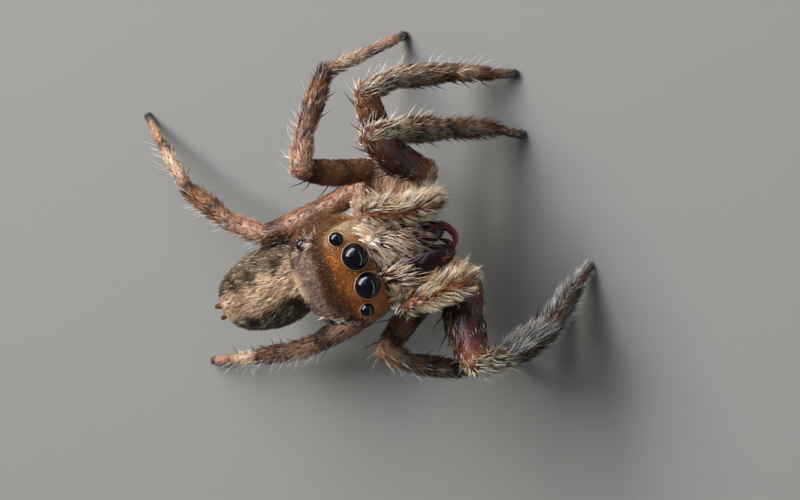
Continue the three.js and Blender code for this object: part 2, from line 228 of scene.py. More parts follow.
# %% Shells from a function of two parameters
class Shell:
    """A closed shell: vertices, triangles, and for each triangle's corners their u and v."""

    def __init__(self, surface, rings, around):
        side, last = np.arange(around), rings - 2
        grid_u, grid_v = np.meshgrid(side / around, np.arange(1, rings) / rings)
        ends = surface(np.zeros(2), np.array([0.0, 1.0]))
        self.surface = surface
        self.verts = np.vstack([surface(grid_u.ravel(), grid_v.ravel()), ends])

        def on_ring(r, c):
            """Vertex number, u and v on ring r, c steps round it."""
            return np.stack(np.broadcast_arrays(r * around + c % around, c / around, (r + 1) / rings), -1)

        def pole(end):
            """The same for the pole at one end, with a u halfway along each triangle's base."""
            number = (rings - 1) * around + end
            return np.stack(np.broadcast_arrays(number, (side + 0.5) / around, float(end)), -1)

        row, col = (k.ravel() for k in np.mgrid[0:last, 0:around])
        here, beyond = on_ring(row, col), on_ring(row + 1, col + 1)
        corners = np.concatenate([np.stack(triangle, 1) for triangle in (
            (here, on_ring(row, col + 1), beyond), (here, beyond, on_ring(row + 1, col)),
            (pole(0), on_ring(0, side + 1), on_ring(0, side)),
            (pole(1), on_ring(last, side), on_ring(last, side + 1)))])
        a, b, c = (self.verts[corners[:, k, 0].astype(int)] for k in range(3))
        if np.einsum("ij,ij->", a, np.cross(b, c)) < 0:
            corners = corners[:, ::-1]
        self.tris, self.uvs = corners[..., 0].astype(int), corners[..., 1:]

    def frame_at(self, u, v):
        """Point, outward normal and direction of growing v, from small steps on the surface."""
        step = 0.004
        v = np.clip(v, 2 * step, 1 - 2 * step)
        at = self.surface(u, v)
        along = unit(self.surface(u, v + step) - self.surface(u, v - step))
        around = self.surface(u + step, v) - self.surface(u - step, v)
        normal = unit(np.cross(around, along))
        middle = (at + self.surface(u + 0.5, v)) / 2
        normal *= np.sign(np.einsum("ij,ij->i", normal, at - middle))[:, None]
        return at, normal, along


def through(stations, x):
    """A smooth curve through (x, value) stations: a cubic between each two, with each station's
    slope taken from its neighbours."""
    at, value = np.array(stations, float).T
    slope = np.concatenate((
        [(value[1] - value[0]) / (at[1] - at[0])], (value[2:] - value[:-2]) / (at[2:] - at[:-2]),
        [(value[-1] - value[-2]) / (at[-1] - at[-2])]))
    x = np.clip(x, at[0], at[-1])
    i = np.clip(np.searchsorted(at, x) - 1, 0, len(at) - 2)
    span = at[i + 1] - at[i]
    t = (x - at[i]) / span
    return ((2 * t**3 - 3 * t**2 + 1) * value[i] + (t**3 - 2 * t**2 + t) * span * slope[i]
            + (3 * t**2 - 2 * t**3) * value[i + 1] + (t**3 - t**2) * span * slope[i + 1])


def smooth(a, b, x):
    """0 at a, 1 at b, and an S-shaped way between them."""
    t = np.clip((x - a) / (b - a), 0, 1)
    return t * t * (3 - 2 * t)


def band(x, middle, half, soft):
    """1 within half of the middle, falling softly to 0 over the width soft."""
    return 1 - smooth(half, half + soft, np.abs(x - middle))


def spoke(u, first, second):
    """Directions at u, once round a circle: first at 0, and second a quarter of the way round."""
    angle = 2 * np.pi * u[:, None]
    return np.cos(angle) * first + np.sin(angle) * second


# %% [markdown]
# ## Head and back
#
# The carapace is the horny shield over head and chest. Its section is a rounded box at every
# station: width, top and bottom are curves through a few measured stations, and both ends close
# like an ellipse. The skin lies inside the solid by the depth of the short coat.

# %% Carapace shape
CARAPACE_HALF_WIDTH = [(-0.12, 1.06), (0.3, 1.17), (1.0, 1.26), (1.9, 1.3), (2.8, 1.16), (3.65, 0.8)]
CARAPACE_TOP = [(-0.12, 0.45), (0.3, 0.56), (1.0, 0.68), (1.9, 0.7), (2.6, 0.4), (3.1, -0.05),
                (3.65, -0.7)]
CARAPACE_BOTTOM = [(-0.12, -0.66), (0.3, -0.92), (1.0, -1.2), (1.9, -1.42), (2.8, -1.55), (3.65, -1.6)]
CARAPACE_COAT = 0.05                   # depth of the short coat, mm
CARAPACE_CAP = 0.34                    # length over which each end closes, mm
CARAPACE_POWER = 2.7                   # how boxy the sections are; 2 would be an ellipse


def rounded_section(u, half_width, low, high, power):
    """Points of a superellipse, u once round, between low and high: sine and cosine, each raised
    to 2 / power with its sign kept."""
    c, s = np.cos(2 * np.pi * u), np.sin(2 * np.pi * u)
    x = np.sign(c) * np.abs(c) ** (2 / power) * half_width
    z = (high + low) / 2 + np.sign(s) * np.abs(s) ** (2 / power) * (high - low) / 2
    return x, z


def domed(y, start, end, cap):
    """How far a section has opened at y: an ellipse over the length cap at both ends."""
    inside = np.clip(np.minimum(y - start, end - y) / cap, 0, 1)
    return np.sqrt(1 - (1 - inside) ** 2)


def carapace(u, v):
    """Sections along the body from the face to the waist, closer together at the ends."""
    start, end = CARAPACE_TOP[0][0] + CARAPACE_COAT, CARAPACE_TOP[-1][0] - CARAPACE_COAT
    y = start + (end - start) * (1 - np.cos(np.pi * v)) / 2
    open_ = domed(y, start, end, CARAPACE_CAP)
    high = through(CARAPACE_TOP, y) - CARAPACE_COAT
    low = through(CARAPACE_BOTTOM, y) + CARAPACE_COAT
    middle, half = (high + low) / 2, (high - low) / 2 * open_
    half_width = (through(CARAPACE_HALF_WIDTH, y) - CARAPACE_COAT) * open_
    x, z = rounded_section(u, half_width, middle - half, middle + half, CARAPACE_POWER)
    return from_body(np.stack([x, y, z], -1))


shells = {"carapace": Shell(carapace, rings=64, around=96)}
print("carapace triangles:", len(shells["carapace"].tris))

# %% [markdown]
# ## Abdomen
#
# The abdomen is a soft egg-shaped bag behind the waist, carried level while the head is raised.
# It has its own axis, so its markings are laid out in shares of its length and width. Breastplate
# and mouthparts are plain stretched balls, because legs, feelers and jaws hide nearly all of them.

# %% Abdomen, breastplate and mouthparts
ABDOMEN_FRONT, ABDOMEN_REAR = (from_floor(p) for p in ((0, 2.9, 1.9), (-0.42, 6.6, 1.95)))
ABDOMEN_SHARES = (0, 0.12, 0.3, 0.5, 0.75, 0.92, 1)
ABDOMEN_HALF_WIDTH, ABDOMEN_UP, ABDOMEN_DOWN = (list(zip(ABDOMEN_SHARES, radii)) for radii in (
    (0.7, 0.85, 0.98, 1.06, 0.9, 0.62, 0.45), (0.8, 0.98, 1.12, 1.12, 0.85, 0.55, 0.4),
    (0.65, 0.76, 0.88, 0.9, 0.74, 0.5, 0.36)))
ABDOMEN_COAT, ABDOMEN_CAP = 0.10, 0.6  # depth of its coat, and length that each end closes over, mm
ABDOMEN_POWER = 2.1

abdomen_length = float(np.linalg.norm(ABDOMEN_REAR - ABDOMEN_FRONT))
abdomen_axis = unit(ABDOMEN_REAR - ABDOMEN_FRONT)
abdomen_across = unit(np.cross(abdomen_axis, UP))
abdomen_above = np.cross(abdomen_across, abdomen_axis)


def abdomen(u, v):
    """Sections along the abdomen's own axis, each a slightly boxy ellipse."""
    y = ABDOMEN_COAT + (abdomen_length - 2 * ABDOMEN_COAT) * (1 - np.cos(np.pi * v)) / 2
    open_ = domed(y, ABDOMEN_COAT, abdomen_length - ABDOMEN_COAT, ABDOMEN_CAP)
    half_width, high, low = ((through(stations, y / abdomen_length) - ABDOMEN_COAT) * open_
                             for stations in (ABDOMEN_HALF_WIDTH, ABDOMEN_UP, ABDOMEN_DOWN))
    x, z = rounded_section(u, half_width, -low, high, ABDOMEN_POWER)
    return (ABDOMEN_FRONT + x[:, None] * abdomen_across + y[:, None] * abdomen_axis
            + z[:, None] * abdomen_above)


def ball(u, v):
    """A sphere of radius one from its two angles, with its poles on the first axis."""
    ring, angle = np.sin(np.pi * v), 2 * np.pi * u
    return np.stack([-np.cos(np.pi * v), ring * np.cos(angle), ring * np.sin(angle)], -1)


def ellipsoid(centre, half):
    """A stretched ball in the body frame, its poles on Y."""
    return lambda u, v: from_body(ball(u, v)[:, [1, 0, 2]] * half + centre)


shells["abdomen"] = Shell(abdomen, rings=48, around=64)
shells["breastplate"] = Shell(ellipsoid((0, 1.62, -1.8), (0.58, 1.4, 0.58)), rings=20, around=32)
shells["mouthparts"] = Shell(ellipsoid((0, 0.68, -2.0), (0.46, 0.32, 0.38)), rings=16, around=24)
print("abdomen, mm long:", round(abdomen_length, 2))

# %% [markdown]
# ## Limbs
#
# Legs and feelers are rows of segments. Each segment is a turned shape along a straight axis: a
# radius that goes from one end's to the other's with a belly between, round ends that sit in the
# joints, and a slight upward bow. Its u runs round from the top, where the limb is outermost, so a
# marking or a row of spines keeps its place on the limb.

# %% Limb segments
THICK = 0.15                           # radius from which a segment gets the finer grid, mm
FINE, COARSE = (26, 28), (20, 20)      # rings, and points on each


class Segment:
    """One limb segment: its ends, radii, bow, and the direction that is its top."""

    def __init__(self, limb, kind, start, end, radii, outward, bow=0.0, flat=1.0):
        self.limb, self.kind = limb, kind
        self.start, self.length = start, float(np.linalg.norm(end - start))
        self.axis = unit(end - start)
        self.top = unit(outward - np.dot(outward, self.axis) * self.axis)
        self.side = np.cross(self.axis, self.top)
        self.r_start, self.r_middle, self.r_end = radii
        self.bow, self.flat = bow, flat
        self.shell = Shell(self.surface, *(FINE if self.r_middle > THICK else COARSE))

    def along(self, v):
        """Distance from the start, as a share of the length. v from 0 to 1 takes in both round
        ends, and steps are smaller there."""
        before, after = self.r_start / self.length, self.r_end / self.length
        return -before + (1 + before + after) * (v + (v - (1 - np.cos(np.pi * v)) / 2) * -0.6)

    def surface(self, u, v):
        """Radius at each share of the length, carried round the bowed axis."""
        t = self.along(v)
        inside = np.clip(t, 0, 1)
        belly = self.r_middle - (self.r_start + self.r_end) / 2
        radius = self.r_start + (self.r_end - self.r_start) * inside + belly * np.sin(np.pi * inside) ** 0.8
        over = np.maximum(-t * self.length / self.r_start, (t - 1) * self.length / self.r_end)
        radius = radius * np.sqrt(np.clip(1 - np.clip(over, 0, 1) ** 2, 0, 1))
        bowed = (self.bow * np.sin(np.pi * inside))[:, None] * self.top
        return (self.start + (t * self.length)[:, None] * self.axis + bowed
                + radius[:, None] * spoke(u, self.flat * self.top, self.side))

    def covers(self, points):
        """Which points lie inside the segment."""
        local = points - self.start
        t = np.clip(local @ self.axis / self.length, 0, 1)
        bulge = np.sin(np.pi * t)
        middle = (t * self.length)[:, None] * self.axis + (self.bow * bulge)[:, None] * self.top
        radius = self.r_start + (self.r_end - self.r_start) * t
        radius += (self.r_middle - (self.r_start + self.r_end) / 2) * bulge
        return np.linalg.norm(local - middle, axis=1) < radius * 0.95


# %% Legs
HIP = {2: (1.5, 1.05, -2.48), 3: (1.75, 2.1, -2.46), 4: (1.35, 2.85, -2.3)}
SWUNG_HIP = {"L1": (1.39, -0.07, -2.55), "R1": (1.35, -0.1, -2.5), "R2": (1.4, 0.75, -2.55)}
COXA_ROOT = {1: (0.5, 0.75, -2.0), 2: (0.55, 1.35, -2.0), 3: (0.55, 1.95, -2.0), 4: (0.48, 2.6, -1.9)}
LEGS = {                               # knee, ankle and foot in the floor frame
    "L1": ((2.75, -1.2, 3.8), (2.06, -1.63, 1.37), (1.18, -2.59, 0)),
    "L2": ((3.68, -0.8, 2.75), (3.24, -1.88, 0.8), (2.63, -3.05, 0)),
    "L3": ((2.6, 1.02, 3.84), (4.4, 0.62, 2.02), (4.39, -0.58, 0)),
    "L4": ((1.14, 4.12, 2.3), (2.77, 6.63, 1.34), (4.76, 7.9, 0)),
    "R1": ((-3.1, -1.25, 3.6), (-3.37, -1.96, 1.4), (-2.42, -2.92, 0)),
    "R2": ((-3.25, -0.45, 2.7), (-3.61, -0.75, 1.05), (-3.05, -1.98, 0)),
    "R3": ((-2.2, 0.95, 3.8), (-3.56, 0.48, 2.0), (-4.15, 0.3, 0)),
    "R4": ((-1.98, 4.4, 1.85), (-2.05, 6.85, 1.1), (-2.03, 9.3, 0)),
}
LEG_RADII = {  # of the solids, out to the coat: hip, femur, knee, tibia, ankle, metatarsus, foot
    1: (0.34, 0.41, 0.35, 0.36, 0.31, 0.29, 0.25), 2: (0.3, 0.37, 0.31, 0.32, 0.27, 0.26, 0.25),
    3: (0.28, 0.33, 0.29, 0.28, 0.26, 0.25, 0.25), 4: (0.28, 0.33, 0.29, 0.27, 0.26, 0.25, 0.25)}
PATELLA_SHARE, KNEE_ARCH = 0.36, 0.2   # where the patella ends on the way down, and its rise in mm
TARSAL_SHARE, TARSAL_LIFT = 0.64, 0.05 # where the tarsus begins on the way down, and its rise in mm
TARSAL_ASIDE = {"L1": 0.12}            # how far it begins to the spider's left of that, mm
FRONT_STOUT = 1.25                     # how much thicker the metatarsus is on the first two pairs
TOE_HEIGHT = 0.10                      # middle of the toe above the floor, mm


def leg_segments(name):
    """The six segments of a leg, from hip joint to toe, with the skin inside the coat."""
    side, number = (1 if name[0] == "L" else -1), int(name[1])
    hip = SWUNG_HIP.get(name) or HIP[number]
    root, hip = (from_body(np.array(p) * (side, 1, 1)) for p in (COXA_ROOT[number], hip))
    knee, ankle, foot = (from_floor(p) for p in LEGS[name])
    shin = knee + (ankle - knee) * PATELLA_SHARE + unit(knee - hip) * KNEE_ARCH
    foot = foot + UP * TOE_HEIGHT
    tarsal = ankle + (foot - ankle) * TARSAL_SHARE + UP * TARSAL_LIFT + (TARSAL_ASIDE.get(name, 0), 0, 0)
    outward = unit((knee + shin) / 2 - (hip + foot) / 2)
    r_hip, r_femur, r_knee, r_tibia, r_ankle, r_meta, r_foot = LEG_RADII[number]
    stout = FRONT_STOUT if number < 3 else 1.0
    make = lambda kind, a, b, radii, **more: Segment(name, kind, a, b, radii, outward, **more)
    return [
        make("coxa", root, hip, (r_hip * 0.9, r_hip * 0.95, r_hip * 0.84)),
        make("femur", hip, knee, (r_hip * 0.72, r_femur * 0.86, r_knee * 0.72), bow=0.1, flat=1.08),
        make("patella", knee, shin, (r_knee * 0.74, r_knee * 0.78, r_tibia * 0.66)),
        make("tibia", shin, ankle, (r_tibia * 0.62, r_tibia * 0.76, r_ankle * 0.6)),
        make("metatarsus", ankle, tarsal, np.array([r_ankle * 0.5, r_meta * 0.54, r_meta * 0.4]) * stout),
        make("tarsus", tarsal, foot, (r_foot * 0.4, r_foot * 0.42, r_foot * 0.32)),
    ]


legs = {name: leg_segments(name) for name in LEGS}
print("leg lengths, mm:", {k: round(sum(s.length for s in v), 1) for k, v in legs.items()})

# %% [markdown]
# ## Feelers, waist and spinnerets
#
# The two feelers hang beside the jaws like short legs, their last part thickened by the coat. The
# waist is a thin stalk, and the spinnerets are a bunch of little cones at the end of the abdomen.

# %% Feelers, waist and spinnerets
PALPS = {                              # base, knee, tip and the way forward, in the body frame
    "L": ((0.78, 0.5, -1.75), (1.17, -0.2, -0.72), (0.77, -1.25, -1.86), (-0.2, -1.0, 0.5)),
    "R": ((-0.78, 0.5, -1.75), (-1.2, -0.2, -0.74), (-1.19, -1.25, -1.86), (0.17, -1.0, 0.2))}
PALP_BEND = 0.42                       # share of the lower length where the feeler's next joint is
WAIST, WAIST_RADIUS = ((0, 3.3, -1.3), (0, 3.95, -1.32)), 0.2
SPINNERETS = ((-0.15, 0.05, 0.36, 0.09), (0.15, 0.05, 0.36, 0.09),    # across, above, length, radius
              (-0.1, -0.14, 0.28, 0.08), (0.1, -0.14, 0.28, 0.08))


def palp_segments(name):
    """Femur, patella with tibia, and the last joint of a feeler."""
    *joints, forward = PALPS[name]
    base, knee, tip = (from_body(p) for p in joints)
    joint = knee + (tip - knee) * PALP_BEND + turn_body((-0.07 * (name == "L"), -0.08, 0.06))
    rows = (("palp_femur", base, knee, (0.14, 0.17, 0.17)), ("palp_tibia", knee, joint, (0.18, 0.19, 0.16)),
            ("palp_tarsus", joint, tip, (0.16, 0.18, 0.10)))
    return [Segment("palp_" + name, *row, turn_body(forward)) for row in rows]


def spinneret(across, above, length, radius):
    """A little cone that leaves the rear end of the abdomen and spreads outwards."""
    root = ABDOMEN_REAR + abdomen_across * across * 0.7 + abdomen_above * above - abdomen_axis * 0.2
    tip = root + abdomen_axis * length + abdomen_across * across * 0.4 + abdomen_above * above * 0.3
    return Segment("spinneret", "spinneret", root, tip, (radius, radius, radius * 0.6), UP)


palps = {name: palp_segments(name) for name in PALPS}
waist = Segment("waist", "waist", *(from_body(p) for p in WAIST), (WAIST_RADIUS,) * 3, UP)
limb_segments = [s for row in (*legs.values(), *palps.values()) for s in row]
limb_segments += [waist, *(spinneret(*row) for row in SPINNERETS)]
print("segments:", len(limb_segments))

# %% [markdown]
# ## Colours of the skin and coat
#
# One set of functions gives the colour at any place of each part, in the part's own shares of
# length and turn. The skin and the hairs both use it, so that the rings on the legs and the spots
# on the abdomen run through the coat. A little slow noise keeps the colours from looking printed.

# %% Palette and how colours are laid over each other
PALETTE = {name: linear(code) for name, code in {
    "gold": "#b27026", "amber": "#7e3b08", "straw": "#cda872", "cream": "#f0dfc2", "rose": "#e8cab6",
    "umber": "#53301a", "dark": "#26130c", "black": "#0d0807", "rust": "#8c4a24", "tan": "#a2775a",
    "ash": "#b8aa98", "slate": "#474543", "olive": "#6f6049", "mauve": "#9c8070", "sand": "#dcc29c",
    "maroon": "#5a2415", "white": "#efe9dd", "teal": "#7d8682", "copper": "#c05f1e", "wheat": "#a8936f",
    "bay": "#80522f"}.items()}
PALETTE["burnt_amber"], PALETTE["burnt_umber"] = PALETTE["amber"] * 0.8, PALETTE["umber"] * 0.75


def blend_to(colour, target, share):
    """Moves colours towards another by a share for each point."""
    return colour + (target - colour) * np.asarray(share)[..., None]


def laid_over(p, ground, layers):
    """The ground colour at each point, with every layer's colour laid over it by its share."""
    colour = np.broadcast_to(PALETTE[ground], p.shape)
    for name, share in layers:
        colour = blend_to(colour, PALETTE[name], share)
    return colour


def slow_noise(p, size, seed):
    """Soft noise from -1 to 1: six sine waves of about one size in mm, in turned directions."""
    rng = np.random.default_rng(seed)
    waves = rng.normal(size=(6, 3)) * (2 * np.pi / size) / 1.7
    return np.sin(p @ waves.T + rng.uniform(0, 2 * np.pi, 6)).mean(-1) * 1.6


# %% Markings
SPOTS = ((0.2, 0.10), (0.42, 0.12), (0.63, 0.12), (0.8, 0.09))    # share of the length, and radius
GROUND = {"coxa": "tan", "femur": "bay", "patella": "tan", "tibia": "bay", "metatarsus": "tan",
          "tarsus": "tan", "waist": "umber", "spinneret": "umber", "palp_femur": "tan",
          "palp_tibia": "rust", "palp_tarsus": "rust"}
FRONT_GROUND = {kind: "umber" for kind in ("patella", "tibia", "metatarsus", "tarsus")}


def carapace_tone(p):
    """Golden face, paler on its left cheek as painted light and copper on its right as painted
    shade, a brown head behind the eyes, and a pale stripe between dark ones on the chest."""
    x, y, z = np.moveaxis(to_body(p), -1, 0)
    wide, low = np.abs(x), through(CARAPACE_BOTTOM, y)
    n, fine = slow_noise(p, 0.5, 1), slow_noise(p, 0.2, 6)
    cheek, behind, chest = smooth(0.7, 0.2, y), smooth(0.3, 0.8, y), smooth(1.5, 2.0, y)
    return laid_over(p, "gold", [
        ("amber", (0.25 + 0.3 * n + 0.3 * fine).clip(0, 1)),
        ("amber", 0.7 * band(z, -0.38, 0.1, 0.25) * smooth(0.95, 0.6, wide)),
        # painted light: the left cheek is made much paler than the right, where the key light falls
        ("wheat", smooth(0.6, 0.9, wide) * cheek * np.where(x > 0, 0.85, 0.2)),
        # painted shade: the right cheek turns copper, as it looks in shadow
        ("copper", smooth(-0.3, -0.6, x) * cheek * 0.8),
        ("burnt_amber", smooth(0.05, 0.3, y + 0.05 * n) * smooth(0.9, 0.7, wide) * 0.9),
        ("burnt_umber", smooth(0.24, 0.5, y + 0.05 * n) * 0.9),
        ("mauve", smooth(0.8, 1.15, y + 0.08 * n) * smooth(0.95, 0.7, wide) * 0.95),
        ("dark", chest * band(wide, 0.72, 0.2, 0.25) * 0.8),
        ("sand", chest * smooth(0.45, 0.25, wide)),
        ("tan", smooth(low + 0.75, low + 0.4, z) * behind * 0.8),
        ("dark", smooth(low + 0.2, low + 0.1, z) * behind * 0.8)])


def abdomen_tone(p):
    """A pale band down the middle with dark spots beside it, and grey-brown sides."""
    local = p - ABDOMEN_FRONT
    along, height = local @ abdomen_axis / abdomen_length, local @ abdomen_above
    across = np.abs(local @ abdomen_across + 0.06 * slow_noise(p, 0.6, 2))
    n, edge = slow_noise(p, 0.35, 3), 0.30 + 0.10 * np.sin(along * 19)
    layers = [("tan", (0.35 + 0.5 * n).clip(0, 1)), ("olive", smooth(edge, edge + 0.22, across))]
    for middle, size in SPOTS:
        spot = np.hypot((along - middle) * abdomen_length / 1.3, across - 0.5) - size
        layers.append(("dark", smooth(0.14, 0.0, spot + 0.06 * n) * smooth(0.1, 0.4, height) * 0.85))
    mottle = (0.3 + 0.5 * n).clip(0, 1)
    return laid_over(p, "sand", layers + [
        ("tan", smooth(0.1, -0.35, height) * 0.7),
        ("dark", band(across, 0.8, 0.06, 0.15) * smooth(-0.2, 0.1, height) * mottle)])


def limb_tone(segment, u, t, p):
    """Colour on a limb: each kind of segment has its own ground, rings and pale or dark ends."""
    n, kind, pair = slow_noise(p, 0.3, 5), segment.kind, segment.limb[1]
    ground = (FRONT_GROUND if pair in "12" else {}).get(kind, GROUND[kind])
    layers = []
    if kind == "femur" and pair in "12":
        ground = "maroon" if pair == "1" else ground
        layers = [("rust", np.maximum(smooth(0.25, 0.08, t), smooth(0.8, 0.95, t)) * 0.6),
                  ("black", band(t, 0.5, 0.18, 0.15) * (0.6 + 0.6 * n).clip(0, 1))]
    elif kind == "femur":
        # The tan top is partly the femur's own marking and partly painted light, spread wide to brighten
        # hind femora that lie in shade
        layers = [("tan", smooth(-1.4, 0.9, np.cos(2 * np.pi * u)) * 0.7),
                  ("dark", band(t, 0.86, 0.05, 0.07) * 0.85 + band(t, 0.45, 0.03, 0.1) * 0.5)]
    elif kind == "patella":
        layers = [("dark", band(t, 0.95, 0.1, 0.1) * 0.6 + 0.3 * n.clip(0))]
    elif kind == "tibia":
        layers = [("tan", smooth(0.22, 0.1, t) * 0.8 + band(t, 0.5, 0.05, 0.1) * 0.5),
                  ("dark", band(t, 0.3, 0.06, 0.08) * 0.7 + smooth(0.72, 0.85, t) * 0.8)]
    elif kind == "metatarsus":
        pale = {"1": 0.15, "2": 0.25}.get(pair, 0.6)
        layers = [("sand", smooth(0.15, 0.3, t) * smooth(0.85, 0.65, t) * pale),
                  ("dark", np.maximum(smooth(0.1, 0.02, t), smooth(0.84, 0.94, t)) * 0.75)]
    elif kind == "tarsus":
        layers = [("slate", smooth(0.6, 0.95, t))]
    return laid_over(p, ground, layers + [("umber", 0.22 * (0.5 + 0.5 * n))])


# %% [markdown]
# ## Where the eyes sit
#
# The eight eyes stand in the skin, each in a low round lip that reads as its socket. A lip is a
# shell too: a bowl whose profile is turned about the way the eye faces.

# %% Eye sockets
EYES = {                   # radius, place and facing in the body frame, the lip's place and thickness
    "front_middle": (0.325, (0.363, 0.0, 0.0), (0.13, -0.97, 0.19), 0.05, 0.010),
    "front_side": (0.175, (0.90, 0.16, 0.18), (0.36, -0.9, 0.26), 0.02, 0.011),
    "tiny": (0.06, (1.02, 0.85, 0.40), (0.8, -0.2, 0.55), 0.0, 0.010),
    "rear": (0.15, (0.97, 1.38, 0.46), (0.75, 0.15, 0.65), 0.03, 0.012),
}


class Eye:
    """One eye: its ball, the way it faces, two directions across, and its lip's circle."""

    def __init__(self, label, side):
        self.radius, centre, facing, self.forward, self.thick = EYES[label]
        self.name, self.in_front = f"{label}_{'L' if side > 0 else 'R'}", label.startswith("front")
        self.place = from_body(np.array(centre) * (side, 1, 1))
        self.axis = unit(turn_body(np.array(facing) * (side, 1, 1)))
        self.first = unit(np.cross(self.axis, UP))
        self.second = np.cross(self.axis, self.first)
        self.circle = math.sqrt(self.radius**2 - self.forward**2)

    def socket(self, u, v):
        """The profile runs round the back of the ball as part of an ellipse, round the lip, and back
        to the axis inside the eye, and is turned about that axis."""
        bend = np.radians(-70 + 280 * np.clip((v - 0.25) / 0.5, 0, 1))
        out = self.circle + 0.7 * self.thick + self.thick * np.cos(bend)
        on = self.forward + self.thick * np.sin(bend)
        bowl, end = np.clip(v / 0.25, 0, 1) * np.pi / 2, np.clip((1 - v) / 0.25, 0, 1)
        out = out * np.sin(bowl) * end
        on = on - (on + self.radius + 0.06) * np.cos(bowl)
        on = -0.15 * self.radius + (on + 0.15 * self.radius) * end
        return self.place + on[:, None] * self.axis + out[:, None] * spoke(u, self.first, self.second)


eyes = [Eye(label, side) for label in EYES for side in (1, -1)]
print("eyes:", [eye.name for eye in eyes])

# %% [markdown]
# ## One skin
#
# All shells are joined into a single closed skin, as flesh is one piece: a boolean union melts the
# legs into the breastplate and the breastplate into the carapace, with no walls left inside. The
# union carries each point's colour along, so the markings are painted on the shells first.

# %% Paint the shells and join them
def flat_mesh(name, verts, tris, tone=None, uv=None, material=None):
    """A smooth-shaded triangle mesh from arrays, in metres, with its colours and its UV map."""
    mesh, loops = bpy.data.meshes.new(name), tris.ravel()
    mesh.vertices.add(len(verts))
    mesh.vertices.foreach_set("co", (np.asarray(verts) * MM).astype(np.float32).ravel())
    mesh.loops.add(len(loops))
    mesh.loops.foreach_set("vertex_index", loops.astype(np.int32))
    mesh.polygons.add(len(tris))
    mesh.polygons.foreach_set("loop_start", np.arange(0, len(loops), 3, dtype=np.int32))
    mesh.update(calc_edges=True)
    mesh.shade_smooth()
    if tone is not None:
        rgba = np.concatenate([np.clip(tone, 0, 1), np.ones((len(tone), 1))], 1)[loops]
        mesh.color_attributes.new("Tone", "FLOAT_COLOR", "CORNER").data.foreach_set("color", rgba.ravel())
    if uv is not None:
        mesh.uv_layers.new(name="OFBake").uv.foreach_set("vector", uv[loops].astype(np.float32).ravel())
    if material is not None:
        mesh.materials.append(material)
    return mesh


def join_skins(name, parts):
    """The boolean union of closed meshes, joined one after another."""
    whole = add_object(parts[0])
    whole.name = name
    for part in parts[1:]:
        other = add_object(part)
        union = whole.modifiers.new("join", "BOOLEAN")
        union.operation, union.solver, union.object = "UNION", "MANIFOLD", other
        graph = bpy.context.evaluated_depsgraph_get()
        joined = bpy.data.meshes.new_from_object(whole.evaluated_get(graph))
        whole.modifiers.clear()
        if len(joined.vertices) == len(whole.data.vertices):
            raise RuntimeError(f"the union with {part.name} failed")
        whole.data = joined
        bpy.data.objects.remove(other)
    whole.data.name = name
    return whole


UNDERCOAT, UNDER_HEAD = 0.8, 0.62      # how dark the skin is under the hair, and the head's once more
LIP_SHADE, FRONT_LIP_ROSE, BACK_LIP_ROSE = 0.6, 0.2, 0.02
skin_tones = {"carapace": lambda p: carapace_tone(p) * UNDER_HEAD, "abdomen": abdomen_tone}
skin_parts = []
for name in ("carapace", "breastplate", "mouthparts", "abdomen"):
    shell = shells[name]
    tone = skin_tones.get(name, lambda p: laid_over(p, "umber", ()))(shell.verts)
    skin_parts.append(flat_mesh(name, shell.verts, shell.tris, tone * UNDERCOAT))
for eye in eyes:
    shell = Shell(eye.socket, rings=40, around=48)
    rose = PALETTE["rose"] * (FRONT_LIP_ROSE if eye.in_front else BACK_LIP_ROSE)
    tone = carapace_tone(shell.verts) * LIP_SHADE + rose
    skin_parts.append(flat_mesh("collar", shell.verts, shell.tris, tone))
for segment in limb_segments:
    shell, local = segment.shell, segment.shell.verts - segment.start
    turn = np.arctan2(local @ segment.side, local @ segment.top) / (2 * np.pi)
    tone = limb_tone(segment, turn, local @ segment.axis / segment.length, shell.verts)
    skin_parts.append(flat_mesh(segment.kind, shell.verts, shell.tris, tone * UNDERCOAT))

skin = join_skins("skin", skin_parts)
print("skin triangles:", sum(len(p.vertices) - 2 for p in skin.data.polygons))

# %% [markdown]
# ## Skin finish
#
# The skin is chitin, the horn-like stuff of insect and spider shells, hardened by tanning. It is a
# little glossy and finely wrinkled. The colour comes from the painted markings and a noise grain
# of about 0.04 mm, the size of the pits that the hairs stand in.

# %% Chitin and hair materials
def grain(material, size, **inputs):
    """Noise on the piece's own coordinates, with grains of the given size in mm."""
    place = add_node(material, "TexCoord").outputs["Object"]
    return add_node(material, "TexNoise", {"Vector": place, "Scale": 1 / (size * MM), **inputs}).outputs[0]


def painted(name, roughness, size, bump, specular):
    """A material whose colour is the painted Tone, mottled by a noise of the given grain in mm."""
    material = new_material(name)
    tone = add_node(material, "Attribute", attribute_name="Tone")
    noise = grain(material, size, Detail=3.0, Roughness=0.6)
    shade = add_node(material, "MapRange", {"Value": noise, "From Min": 0.3, "From Max": 0.7,
                                            "To Min": 0.72, "To Max": 1.25})
    mixed = add_node(material, "VectorMath", {0: tone.outputs["Color"], 1: shade.outputs[0]},
                     operation="MULTIPLY")
    raised = add_node(material, "Bump", {"Height": noise, "Strength": bump, "Distance": size * MM * 0.5})
    return finish_material(material, {
        "Base Color": mixed.outputs[0], "Roughness": roughness, "Specular IOR Level": specular,
        "Normal": raised.outputs[0]})


chitin = painted("tanned_chitin", roughness=0.4, size=0.04, bump=0.5, specular=0.35)
hair = painted("keratin_like_hair", roughness=0.55, size=0.2, bump=0.0, specular=0.2)
skin.data.materials.clear()
skin.data.materials.append(chitin)
skin.data.shade_smooth()
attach(skin, "root")
SKIN_NODES = [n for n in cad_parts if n.startswith(("leg_", "palp_"))]
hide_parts("carapace", "breastplate_hips", "mouthparts", "pedicel", "abdomen", "spinnerets",
            *SKIN_NODES)
print("limb nodes that the skin stands for:", len(SKIN_NODES))

# %% [markdown]
# ## Eyes
#
# A jumping spider's eyes are hard clear lenses over a dark tube, and look like beads of black
# glass. Each is a full ball, so it sits as deep in the head as a real one, and gloss does the rest.

